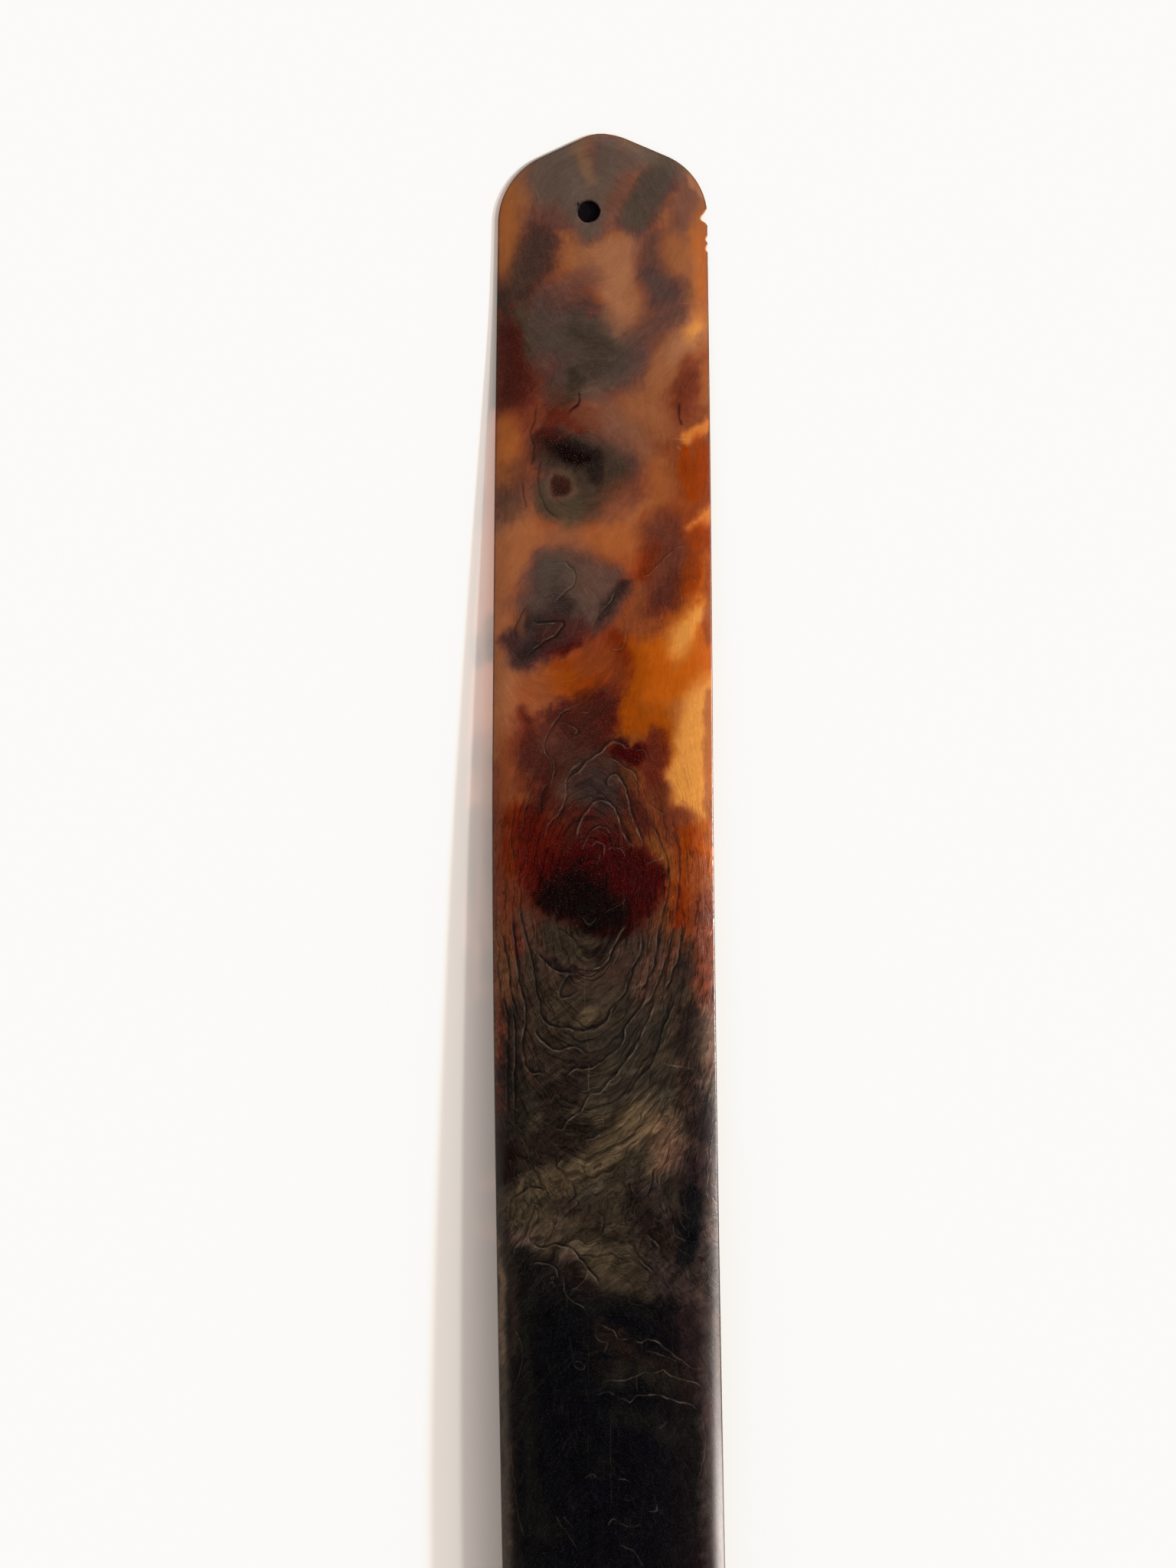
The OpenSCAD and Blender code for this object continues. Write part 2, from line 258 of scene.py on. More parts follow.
# Patches: pigment, strength, softness, then x, s and radius along the stroke.
PIGMENT = [
    ("tan", 0.9, 1.2, [(-13, 5, 1), (-13, 11.5, 1.6), (-13, 17.5, 1.4)]),
    ("tan", 0.9, 1.6, [(-5.5, 14.5, 1.6), (-3.5, 17, 2.1), (0.5, 14.5, 1.9)]),
    ("sand", 0.9, 1.6, [(-0.5, 17.5, 2.3), (2, 17, 2.1)]),
    ("dust", 0.7, 0.8, [(-5.5, 2, 0.6), (-1.5, 0.5, 0.5)]),
    ("dust", 0.8, 0.8, [(3, 1, 0.6), (7, 2.5, 0.7), (10.5, 4.5, 0.7)]),
    ("taupe", 0.95, 1.3, [(-7, 5, 2.5), (-6, 7.5, 3.3), (-4, 9, 2.7)]),
    ("taupe", 0.95, 1.2, [(-5.5, 3.5, 1.9), (-4, 6.5, 1.6)]),
    ("taupe", 0.95, 1.1, [(0.5, 2, 1.4), (0.5, 4, 2.1), (0.5, 7, 2.1), (0, 9.5, 1.8), (-2, 13, 1.5)]),
    ("dust", 0.85, 0.7, [(-3.5, 2, 0.4), (-2.5, 4, 0.6), (-1.5, 6.5, 0.5)]),
    ("taupe", 0.85, 1.2, [(3.5, 3, 1.2), (6, 3, 1.2), (8, 4.5, 1.2)]),
    ("rose", 0.92, 0.8, [(3, 6.5, 0.6), (2, 8.5, 0.9), (1, 12, 1)]),
    ("moss", 0.96, 0.9, [(8, 5.5, 1.2), (6.5, 8, 1.9), (4.5, 11, 1.6)]),
    ("slate", 0.8, 0.9, [(7, 6.5, 0.9), (5, 10, 0.9)]),
    ("tan", 0.95, 0.8, [(9.5, 7.5, 0.7), (8, 10, 1.1), (6.5, 13, 1.2)]),
    ("rose", 0.9, 0.9, [(11.5, 7.5, 1), (11, 10, 1.2), (10.5, 13.5, 1.1)]),
    ("sand", 0.85, 0.6, [(12, 6, 0.5), (13.5, 8.5, 0.5)]),
    ("rose", 0.85, 1.2, [(-10.5, 12, 1.2), (-9, 12.5, 0.9)]),
    ("mauve", 0.9, 1.1, [(-7.5, 11, 1.1), (-6, 12, 0.8)]),
    ("soot", 0.96, 1.3, [(-8.5, 15, 1.3), (-9.5, 17.5, 1.6), (-10.5, 19.5, 1.5)]),
    ("soot", 0.7, 0.9, [(-9.5, 17.5, 0.9), (-10.5, 19.5, 0.8)]),
    ("soot", 0.95, 1.3, [(-12, 21, 1.4), (-13.5, 23, 1.2), (-14, 25.5, 1.2)]),
    ("sand", 0.95, 1.5, [(1.5, 19, 1.9), (1, 21.5, 1.8), (2.5, 24, 1.4)]),
    ("sand", 0.8, 1.2, [(4, 13.5, 0.8), (3, 16.5, 1.2)]),
    ("rose", 0.92, 1.3, [(-1.5, 19.5, 0.8), (-4.5, 21, 1.2), (-7.5, 22, 1.3)]),
    ("mauve", 0.9, 1.3, [(-5, 23.5, 1.6), (-7.5, 24, 1.4), (-3, 23, 1.2)]),
    ("mauve", 0.95, 1.1, [(7, 14.5, 1), (6, 17, 1.2), (7, 19.5, 1.9), (8.5, 22, 2.1), (11.5, 22, 0.9)]),
    ("rim", 0.8, 0.9, [(6.5, 19.5, 1), (8.5, 22, 1.2), (7, 23, 0.9)]),
    ("tan", 0.9, 1, [(9.5, 15, 1), (10, 17.5, 1.3)]),
    ("gold", 0.95, 0.9, [(13, 14, 0.8), (13.5, 17.5, 0.9), (13.5, 22, 0.8), (13.5, 25.5, 0.8)]),
    ("sienna", 0.9, 0.7, [(-14.5, 24.5, 0.4), (-14.5, 30, 0.6), (-14, 37, 0.7)]),
    ("maroon", 0.96, 1.1, [(-12.5, 27.5, 1.2), (-12, 32, 1.6), (-12, 36, 1.4)]),
    ("mauve", 0.95, 1.3, [(-7.5, 24.5, 2.7), (-7.5, 28, 2.3), (-8, 30.5, 1.4)]),
    ("olive", 0.9, 0.9, [(-11, 24.5, 0.7), (-10, 28, 0.6), (-9.5, 30.5, 0.5)]),
    ("rim", 0.96, 1.5, [(-3.5, 27.5, 2.9), (-1.5, 30, 3.1), (-3, 32, 2.5), (-5, 34, 1.6)]),
    ("rim", 0.7, 1.2, [(-4, 27.5, 1.6), (-0.5, 30, 1.4)]),
    ("mauve", 0.9, 1.2, [(1.5, 29.5, 2.3), (2.5, 32, 1.9), (-0.5, 33, 2.1)]),
    ("mauve", 0.95, 1.1, [(4.5, 28, 1.2), (7, 26, 1.5), (10, 24.5, 1.3)]),
    ("rose", 0.8, 0.9, [(5, 30, 1), (3, 34, 0.9)]),
    ("sand", 0.95, 1.1, [(13.5, 24.5, 1.2), (11.5, 27.5, 1.3), (9, 30.5, 1.2), (6.5, 33, 1)]),
    ("honey", 0.8, 0.8, [(13.5, 24.5, 0.6), (12, 27, 0.7)]),
    ("tan", 0.95, 1.6, [(7, 34, 2.1), (4, 37, 2.3), (8, 39, 1.4)]),
    ("rose", 0.9, 1.4, [(-1, 37, 1.4), (0.5, 39, 1.9), (3, 40.5, 1.6)]),
    ("umber", 0.9, 0.8, [(-7, 35, 0.9), (-6.5, 37, 0.8)]),
    ("bog", 0.96, 0.7, [(-4, 33, 0.9), (-4, 34.5, 0.8), (-5, 36.5, 0.7)]),
    ("brick", 0.92, 0.7, [(-3.5, 36.5, 0.2), (-5, 38.5, 0.5), (-7, 39, 1)]),
    ("plum", 0.96, 0.7, [(-7.5, 40.5, 1.2), (-6, 41, 1.2), (-5, 43, 1.5), (-2.5, 43, 1.5), (-1.5, 45, 1.2), (-1, 46.5, 0.8)]),
    ("soot", 0.9, 0.7, [(-8, 43.5, 0.9), (-8, 45, 0.7)]),
    ("mauve", 0.96, 1.2, [(1.5, 44, 2.1), (3, 45.5, 2.1), (0.5, 47.5, 2.3)]),
    ("moss", 0.95, 0.9, [(-3, 47, 1.9), (-3.5, 49, 2), (-5.5, 51, 1.2)]),
    ("mauve", 0.9, 0.6, [(-7.5, 47, 0.7), (-7.5, 49, 0.8)]),
    ("maroon", 0.96, 0.4, [(-5.5, 48, 1.2)]),
    ("rose", 0.8, 1.1, [(4.5, 41, 1.1), (6, 43.5, 0.9)]),
    ("sienna", 0.8, 0.6, [(-4, 40, 0.6), (-2.5, 40.5, 0.5)]),
    ("copper", 0.96, 1.1, [(12, 31.5, 0.8), (11.5, 34.5, 1.4), (10.5, 37.5, 1)]),
    ("sienna", 0.8, 0.8, [(11.5, 34, 0.8), (10.5, 36.5, 0.7)]),
    ("caramel", 0.92, 0.7, [(14, 32, 0.7), (14, 36, 0.7)]),
    ("gold", 0.96, 0.7, [(14, 39.5, 0.5), (12.5, 41, 0.8), (11, 41.5, 0.6)]),
    ("orange", 0.96, 0.9, [(13.5, 43, 0.9), (13, 45.5, 1.3), (12.5, 48.5, 1.2)]),
    ("orange", 0.92, 0.7, [(11, 43, 0.6), (11, 46.5, 0.8)]),
    ("gold", 0.96, 0.7, [(14.5, 51, 0.5), (13.5, 52.5, 0.8), (12, 53.5, 0.6)]),
    ("caramel", 0.95, 1.1, [(-13, 39.5, 1.2), (-13, 42.5, 1.5), (-13.5, 45, 0.9)]),
    ("umber", 0.95, 1.3, [(-12, 46.5, 1.5), (-12.5, 49.5, 1.9), (-13, 53, 1.3)]),
    ("caramel", 0.95, 1.3, [(5, 48.5, 1.6), (7.5, 45.5, 1.3), (8, 49.5, 1.2), (3, 52, 1.4), (1, 54.5, 1.2)]),
    ("tan", 0.7, 0.9, [(5, 49.5, 0.8), (3, 52.5, 0.9)]),
    ("burnt", 0.9, 1.2, [(-8, 53, 1.1), (-4, 53.5, 0.9), (-1.5, 54.5, 1.1)]),
    ("caramel", 0.9, 1.1, [(1, 55.5, 1.4), (3, 55.5, 1.2)]),
    ("copper", 0.95, 1.1, [(9, 52.5, 1.1), (8, 54.5, 1.3), (7.5, 57, 1.4)]),
    ("orange", 0.92, 0.9, [(13.5, 54.5, 0.9), (13.5, 57, 0.8)]),
    ("caramel", 0.95, 1.3, [(-10, 55, 1.3), (-12, 57.5, 1.6)]),
    ("caramel", 0.95, 1.1, [(-13, 56.5, 1.4), (-13, 63, 1.2), (-13.5, 68, 0.7), (-14, 73, 0.9)]),
    ("mauve", 0.95, 1.1, [(-6, 57.5, 1.3), (-7.5, 60.5, 2.1), (-5, 59.5, 1.9)]),
    ("soot", 0.95, 1.1, [(-9, 64, 1.8), (-5, 63, 2.5), (-3, 64.5, 1.9), (-6.5, 66.5, 2.3)]),
    ("umber", 0.95, 0.9, [(-1.5, 59.5, 1.5), (1, 60.5, 1.3), (0.5, 62.5, 1.3), (-1.5, 65, 1.1)]),
    ("maroon", 0.96, 0.9, [(-10.5, 66, 1.2), (-9, 68, 2), (-5.5, 68, 1.8), (-3.5, 67.5, 1.2)]),
    ("brick", 0.95, 0.9, [(-12.5, 69.5, 0.9), (-11.5, 71.5, 1), (-8.5, 70, 0.8)]),
    ("oxblood", 0.92, 0.7, [(-8, 70.5, 0.3), (-5.5, 70, 0.5), (-3.5, 69, 0.4)]),
    ("maroon", 0.95, 0.4, [(2.5, 62, 0.6), (2, 63.5, 0.4)]),
    ("copper", 0.95, 1.2, [(10, 56, 1.1), (9, 59, 1.4), (6, 61.5, 1.3), (4, 64.5, 1.4), (3, 67, 1.1)]),
    ("brick", 0.95, 0.9, [(9.5, 61, 0.9), (8, 63, 1.3), (7, 64, 1.1)]),
    ("burnt", 0.8, 0.9, [(4.5, 63, 0.9), (4, 66, 1.1), (6, 67, 0.9)]),
    ("rust", 0.92, 0.9, [(5.5, 58.5, 0.8), (7, 56.5, 0.9), (5, 60.5, 0.7)]),
    ("orange", 0.95, 0.9, [(13.5, 55.5, 0.8), (12.5, 58.5, 0.9), (11.5, 61.5, 0.7)]),
    ("sun", 0.92, 0.7, [(14, 57.5, 0.6), (14, 61, 0.8)]),
    ("honey", 0.96, 1, [(14, 64, 0.7), (12.5, 66, 1.3), (10.5, 68.5, 1.5), (9.5, 71, 1.1)]),
    ("sun", 0.96, 0.8, [(14, 67.5, 0.6), (13, 70.5, 0.9), (11.5, 73, 1.1), (9.5, 75.5, 0.9)]),
    ("sun", 0.92, 0.8, [(14, 71, 0.6), (14, 73.5, 0.7)]),
    ("orange", 0.95, 1.2, [(-6.5, 73, 1.3), (-3, 73, 1.6), (-3, 75, 1.3), (0, 72.5, 1.1)]),
    ("amber", 0.9, 1, [(-6.5, 74.5, 0.9), (-4.5, 74, 0.9)]),
    ("amber", 0.95, 1.2, [(4, 70.5, 1.4), (5.5, 73, 1.6), (4, 75.5, 1.4), (3, 78.5, 1.2)]),
    ("sun", 0.95, 1.1, [(7, 70, 1), (8, 73, 1.3), (7.5, 76, 1.3)]),
    ("amber", 0.95, 1.1, [(4, 80, 1.3), (7, 79.5, 1.3), (8.5, 82.5, 0.9), (8.5, 85.5, 0.8)]),
    ("rust", 0.92, 0.8, [(1.5, 68.5, 0.6), (2.5, 71, 0.8), (2, 73, 0.8), (1.5, 75, 0.8)]),
    ("caramel", 0.95, 1.2, [(-8, 73.5, 0.9), (-10, 75, 1.3), (-11.5, 76.5, 1.1), (-13.5, 77.5, 0.9)]),
    ("honey", 0.97, 1, [(14.5, 74.5, 0.7), (13, 77.5, 1.6), (12.5, 81, 2.3), (12, 85.5, 2.7), (12, 89, 2.6)]),
    ("blood", 0.96, 0.9, [(1, 76, 0.9), (-0.5, 78, 1.3), (0, 79.5, 1.2), (-1.5, 79, 0.9)]),
    ("maroon", 0.95, 1.1, [(-5, 79.5, 1.5), (-3, 81, 1.9), (-5, 83, 2.3), (-2, 83, 2.1), (-6, 85.5, 2.1)]),
    ("copper", 0.95, 1, [(-12, 80, 1.3), (-12.5, 83, 1.1)]),
    ("sienna", 0.95, 1, [(-10, 80, 0.7), (-11.5, 85.5, 1.3), (-10.5, 88, 1.3)]),
    ("brick", 0.9, 0.7, [(-11, 78, 0.3), (-10.5, 81, 0.4), (-10, 83.5, 0.4)]),
    ("mauve", 0.7, 0.9, [(-9.5, 84, 0.9), (-9, 86, 0.7)]),
    ("soot", 0.95, 0.9, [(-1.5, 86, 1.5), (-0.5, 88, 2.1), (1, 85.5, 1.1)]),
    ("oxblood", 0.96, 0.7, [(2.5, 83.5, 1.1), (4, 85, 1.1), (5, 83.5, 0.9)]),
    ("brick", 0.95, 0.9, [(7, 82.5, 1.1), (7, 85.5, 1.3), (7, 88, 1.3)]),
    ("soot", 0.95, 0.9, [(-2, 88, 2.3), (-0.5, 88.5, 1.9), (-4, 89.5, 1.4)]),
    ("maroon", 0.95, 0.9, [(-7.5, 87.5, 1.1), (-7.5, 90, 1.1), (-9.5, 93, 0.9)]),
    ("copper", 0.95, 0.9, [(-14, 86.5, 1.1), (-14, 90.5, 1.1), (-13.5, 95, 0.9), (-14, 99.5, 0.8), (-13.5, 103.5, 0.8)]),
    ("rust", 0.95, 0.9, [(-12, 92, 0.7), (-12.5, 96, 0.8), (-12.5, 99.5, 0.7)]),
    ("blood", 0.95, 1.2, [(-10, 93.5, 1.3), (-9, 97, 1.8), (-9.5, 99.5, 1.1)]),
    ("blood", 0.92, 0.9, [(-5.5, 95, 0.7), (-6.5, 97, 1.1), (-8, 100, 0.9)]),
    ("maroon", 0.95, 0.7, [(0, 91, 1.3), (0, 93, 1.6), (2, 94.5, 0.9)]),
    ("maroon", 0.9, 0.8, [(-5, 91.5, 1.1), (-3.5, 93, 0.9), (4, 91, 1.1), (5.5, 94, 0.9)]),
    ("sienna", 0.95, 0.9, [(7, 89.5, 0.9), (8.5, 92.5, 1.1), (9, 95, 0.9)]),
    ("copper", 0.9, 0.8, [(11, 92, 0.8), (10.5, 95, 0.9), (10, 99, 0.8)]),
    ("oxblood", 0.97, 1.1, [(-1.5, 98, 1.6), (-3.5, 100, 2.3), (-0.5, 100.5, 2.9), (2.5, 101, 2.1)]),
    ("core", 0.97, 1.1, [(-5, 103.5, 1.4), (-2, 104, 1.8), (0.5, 104, 1.5), (3, 105.5, 0.9)]),
    ("oxblood", 0.95, 0.9, [(5, 99, 1.3), (6.5, 101, 1.3), (6, 103.5, 1.5), (4, 105.5, 1.3)]),
    ("brick", 0.8, 0.6, [(-0.5, 96, 0.7), (1, 96, 0.7)]),
    ("sun", 0.95, 0.9, [(14, 94.5, 0.7), (13.5, 97.5, 1.1), (12.5, 101, 0.9)]),
    ("orange", 0.95, 1.1, [(11.5, 95, 0.9), (11.5, 99, 1.3), (11.5, 103, 1.5), (12.5, 106.5, 1.2)]),
    ("caramel", 0.95, 0.7, [(14, 101, 0.6), (14, 105.5, 0.7), (14, 110, 0.7), (14.5, 114, 0.7), (14.5, 117.5, 0.6)]),
    ("rust", 0.92, 0.8, [(10, 103, 0.7), (10, 106.5, 0.9)]),
    ("honey", 0.95, 0.9, [(11.5, 86.5, 2.5), (12.5, 89.5, 1.5), (14, 92, 0.7)]),
    ("sienna", 0.95, 0.7, [(13.5, 111.5, 0.7), (13.5, 116.5, 0.7), (13.5, 119.5, 0.7)]),
    ("smoke", 0.95, 0.9, [(12, 110.5, 0.7), (11, 113, 1.1), (10, 116.5, 1.1)]),
    ("bog", 0.95, 0.9, [(11.5, 116.5, 0.7), (12, 119, 0.7)]),
    ("bog", 0.96, 1, [(-7.5, 108.5, 1.3), (-5.5, 110, 1.9), (-3, 109.5, 2.3), (-0.5, 108.5, 1.4)]),
    ("soot", 0.9, 0.9, [(-8.5, 113, 1.1), (-7, 115.5, 1.6), (-4, 116.5, 2.1)]),
    ("soot", 0.95, 0.9, [(4, 109, 0.9), (3, 111.5, 1.2), (0, 115, 1.4), (-1, 118.5, 1.6)]),
    ("coal", 0.92, 0.7, [(2, 106.5, 0.9), (1, 109.5, 0.6), (-1, 111.5, 0.6)]),
    ("plum", 0.92, 0.5, [(-7.5, 112, 0.4), (-5.5, 113, 0.5), (-4, 113.5, 0.6), (-5, 115, 0.5)]),
    ("umber", 0.9, 0.8, [(-11, 105.5, 0.7), (-10.5, 107.5, 0.7), (-9.5, 111, 0.7)]),
    ("umber", 0.9, 0.8, [(7, 110, 1), (6.5, 113, 1), (5, 116.5, 1)]),
    ("maroon", 0.9, 0.6, [(-12, 107.5, 0.3), (-11.5, 111, 0.3), (-10.5, 114, 0.3)]),
    ("bog", 0.95, 1.2, [(-6, 117.5, 2.3), (-3, 119, 2.7), (1, 117.5, 1.9)]),
    ("moss", 0.75, 0.7, [(-1.5, 119, 0.8), (-3, 120, 0.6)]),
    ("brick", 0.95, 0.7, [(-14.5, 117.5, 0.6), (-14, 123, 0.6), (-14.5, 127.5, 0.6), (-14, 131.5, 0.4)]),
    ("smoke", 0.9, 0.9, [(-12, 118.5, 0.9), (-12, 124, 0.9), (-11.5, 128.5, 1.1)]),
    ("smoke", 0.9, 0.9, [(-8, 125, 1.6), (-4, 125.5, 1.4), (-0.5, 124.5, 1.1)]),
    ("ash", 0.9, 0.9, [(1, 127, 1.2), (4, 124.5, 1.2), (7, 122, 1.1), (8.5, 119, 0.9)]),
    ("olive", 0.7, 0.6, [(1.5, 125.5, 0.5), (-1.5, 127.5, 0.6), (-3.5, 127.5, 0.5)]),
    ("ink", 0.92, 0.9, [(-5, 130, 1.3), (-5.5, 132.5, 1.3), (-7.5, 134, 0.9)]),
    ("ash", 0.9, 1.1, [(7, 128.5, 1.9), (5, 130.5, 1.4), (9, 127, 1.4)]),
    ("coal", 0.92, 0.9, [(11.5, 119, 1.1), (11, 121.5, 1.1), (10, 124.5, 0.7)]),
    ("soot", 0.8, 0.7, [(12.5, 120.5, 0.5), (12, 124.5, 0.6)]),
    ("rose", 0.95, 0.7, [(14.5, 117.5, 0.6), (14.5, 120, 0.6)]),
    ("rose", 0.95, 0.7, [(14.5, 123, 0.6), (14.5, 126, 0.7), (13, 127, 0.6), (11, 130.5, 0.5)]),
    ("plum", 0.95, 0.9, [(13, 130.5, 0.9), (13, 133.5, 1.3), (14, 136, 0.9)]),
    ("rim", 0.9, 1.1, [(-9.5, 130.5, 0.9), (-9.5, 131.5, 1.1), (-11, 133, 0.8)]),
    ("moss", 0.95, 1.2, [(4.5, 131.5, 1.2), (3, 133.5, 1.2), (-0.5, 136, 1.1), (-3, 138, 0.7)]),
    ("mauve", 0.95, 1.2, [(8, 133.5, 1.4), (7, 136, 1.2), (9.5, 137.5, 1.4), (8, 139, 1.1)]),
    ("soot", 0.9, 1.1, [(4.5, 137, 1.6), (3, 138.5, 1.2)]),
    ("core", 0.96, 0.9, [(-13.5, 135.5, 0.7), (-13, 138.5, 1.2), (-13.5, 141, 0.9)]),
    ("coal", 0.9, 1.1, [(-8, 136, 1.9), (-5, 137, 1.9), (-8, 138.5, 1.4)]),
    ("olive", 0.95, 1.1, [(-8.5, 141, 1.3), (-5.5, 140, 1.5), (-3, 139.5, 1.1)]),
    ("olive", 0.9, 1.2, [(-10, 142.5, 1.1), (-12.5, 144.5, 1.3), (-13.5, 145.5, 0.9)]),
    ("ash", 0.9, 1.1, [(-0.5, 140, 1.4), (2.5, 139.5, 1.2), (5.5, 138, 0.9)]),
    ("bog", 0.9, 1.2, [(3, 143.5, 1.9), (0, 145.5, 2.1), (-1.5, 148.5, 2.3)]),
    ("smoke", 0.9, 1.1, [(-5.5, 144, 1.4), (-5, 147, 1.4)]),
    ("olive", 0.95, 1.1, [(-10, 146.5, 1.9), (-9.5, 148.5, 1.9), (-6.5, 149.5, 1.9)]),
    ("ink", 0.95, 0.7, [(4, 143, 0.7), (4.5, 145.5, 1.1), (7, 147, 1.3), (9, 147.5, 0.9)]),
    ("jet", 0.95, 0.6, [(11.5, 146.5, 0.6), (11.5, 149.5, 0.8)]),
    ("plum", 0.95, 1.1, [(13, 138.5, 1.1), (12, 141, 1.3), (12.5, 143.5, 1.1)]),
    ("lilac", 0.9, 0.9, [(7, 142.5, 1), (8.5, 145, 1), (9.5, 148.5, 0.7)]),
    ("lilac", 0.9, 0.7, [(14, 146, 0.6), (14, 149, 0.8)]),
    ("rim", 0.9, 0.6, [(15, 138.5, 0.3), (15, 145, 0.5), (15, 149.5, 0.6)]),
    ("rim", 0.95, 1.2, [(-11, 149, 1.4), (-6, 148.5, 1.9), (-3, 150.5, 1.2)]),
    ("bog", 0.95, 1.2, [(1, 150, 2.3), (3.5, 153, 2.7), (5, 155.5, 2.1)]),
    ("olive", 0.9, 1.2, [(-1, 152.5, 1.4), (1, 155.5, 1.1)]),
    ("lilac", 0.9, 1.1, [(7.5, 151.5, 1.3), (8, 154.5, 1.3)]),
    ("coal", 0.92, 0.7, [(7.5, 147.5, 0.9), (9, 149.5, 0.7)]),
    ("jet", 0.95, 0.6, [(11.5, 147.5, 0.8), (11.5, 150, 0.7), (10, 152, 0.5)]),
    ("plum", 0.8, 0.8, [(-8.5, 153, 0.9), (-5.5, 155.5, 1.1), (-3, 156.5, 1.1), (-1, 156.5, 0.7)]),
    ("lilac", 0.95, 1.2, [(12, 151.5, 1.3), (11, 155.5, 1.3), (12.5, 158, 1.4)]),
    ("soot", 0.8, 0.9, [(13, 156, 0.7), (14, 160.5, 0.9)]),
    ("plum", 0.92, 1.1, [(11, 160, 1.4), (12, 163.5, 1.4), (12, 167.5, 1.2)]),
    ("coal", 0.9, 1.1, [(-1, 161, 0.9), (1.5, 162.5, 1.1), (3.5, 164.5, 1.1), (1.5, 167, 1.1)]),
    ("coal", 0.9, 1.2, [(6, 166, 1.4), (9, 167.5, 1.4), (11.5, 169.5, 1.1)]),
    ("olive", 0.95, 0.5, [(-14, 150, 0.4), (-13.5, 157.5, 0.5), (-13.5, 164.5, 0.6), (-13, 173.5, 0.6), (-13, 182.5, 0.6), (-13, 193, 0.7)]),
    ("smoke", 0.9, 0.5, [(-12.5, 153, 0.4), (-12, 160.5, 0.5), (-12, 167.5, 0.7), (-12, 175, 0.7), (-12, 184, 0.6), (-11.5, 193, 0.7)]),
    ("ink", 0.8, 0.8, [(-10.5, 161.5, 0.7), (-10, 173.5, 0.9), (-10.5, 185.5, 0.9)]),
    ("ink", 0.9, 0.9, [(12.5, 172, 0.9), (12.5, 179.5, 0.9), (13, 188, 0.9)]),
    ("lilac", 0.95, 0.9, [(14, 163.5, 0.6), (14, 170.5, 0.7), (14, 179.5, 0.7), (14.5, 191, 0.8)]),
    ("rim", 0.95, 0.5, [(15, 156, 0.3), (15.5, 164.5, 0.4), (15.5, 173.5, 0.5), (16, 182.5, 0.6), (16, 193, 0.7)]),
    ("sienna", 0.6, 0.6, [(14.5, 171.5, 0.5), (14.5, 175, 0.5)]),
    ("ink", 0.7, 1.2, [(-3, 178, 1.3), (-1, 179, 1.3)]),
    ("ink", 0.7, 1.2, [(-10, 184, 1.3), (-7.5, 188, 1.4), (-4, 187.5, 1.1)]),
    # grey cloud below the hole
    ("slate", 0.9, 1.6, [(-9, 24.5, 1.2), (-7, 27.5, 2.2), (-1, 28.5, 3.6), (1.5, 31, 3.2), (-2.5, 33, 2.6)]),
    ("bog", 0.5, 1.2, [(-3, 27, 1.2), (0, 29.5, 1.8), (-1.5, 31.5, 1.2)]),
    ("bog", 0.9, 0.5, [(-4.3, 32.6, 0.7), (-3.5, 34, 0.9), (-4.2, 35.8, 0.6)]),
    # first eye
    ("mauve", 0.8, 1.6, [(-5, 43, 4), (0, 46.5, 4.6)]),
    ("bog", 0.9, 1.2, [(-7, 43.5, 2), (-3, 44.5, 3.2), (0.5, 46.5, 3), (-1, 49.5, 2.6)]),
    ("brick", 0.9, 0.6, [(-8, 40.3, 0.5), (-6.8, 38.8, 0.9), (-5.2, 38.3, 0.5)]),
    ("brick", 0.8, 0.6, [(-4.6, 39.4, 0.5), (-3, 40.4, 0.5)]),
    ("coal", 0.95, 0.7, [(-8.3, 41.3, 0.9), (-6, 42.3, 1.4), (-4, 43.4, 1.5), (-1.6, 44.6, 1.6), (-1, 46.6, 1)]),
    ("core", 0.7, 0.5, [(-5.4, 43.1, 0.7), (-2.5, 44.2, 0.9)]),
    ("olive", 0.9, 0.8, [(-8.4, 47.6, 0.8), (-7.6, 50.6, 1.2), (-4.4, 51.6, 1.8)]),
    ("mauve", 0.6, 0.6, [(-5.7, 48, 1.9)]),
    ("soot", 0.97, 0.25, [(-5.7, 47.9, 1.1)]),
    # second eye
    ("blood", 0.85, 1.2, [(-8.4, 94.5, 1.2), (-9.4, 98.5, 1.5), (-9, 102, 1)]),
    ("oxblood", 0.95, 1.4, [(-6.4, 101, 2.2), (-1, 100, 4), (3.4, 101, 3.4), (1, 104, 3.6)]),
    ("core", 0.92, 1.4, [(-6.8, 103.8, 1.6), (-3, 103.4, 3), (1, 105.5, 2), (-2, 106, 1.6)]),
    ("maroon", 0.8, 1, [(-4, 96.5, 1.6), (-1.5, 94.6, 1.6), (1.4, 96.5, 1.6)]),
    ("umber", 0.8, 1, [(-5, 88.6, 1.4), (-2.4, 86.6, 2), (0.4, 88.6, 1.6)]),
    # the cloud between the two eyes
    ("mauve", 0.8, 1.6, [(-5, 58, 3.2), (-3, 62, 4.4), (-9, 67, 2.8), (-11.5, 71, 1.8)]),
    ("soot", 0.9, 1.2, [(-6, 59, 2.2), (-3, 62, 2.8), (-6.5, 64, 2.8), (-9, 67.5, 2.2), (-11.5, 71, 1.2)]),
    ("slate", 0.8, 1, [(-7, 58.6, 1.6), (-3.5, 60.6, 2), (-1, 62.5, 2.2), (-2.5, 65, 1.6)]),
    ("coal", 0.8, 0.7, [(-9.5, 66.5, 1), (-6, 65.5, 1.1), (-4.6, 63.6, 0.8)]),
    ("coal", 0.7, 0.6, [(-12, 71.5, 0.7), (-9, 69.5, 0.8), (-5.5, 68, 0.6)]),
    # marbled grey-green below the second eye
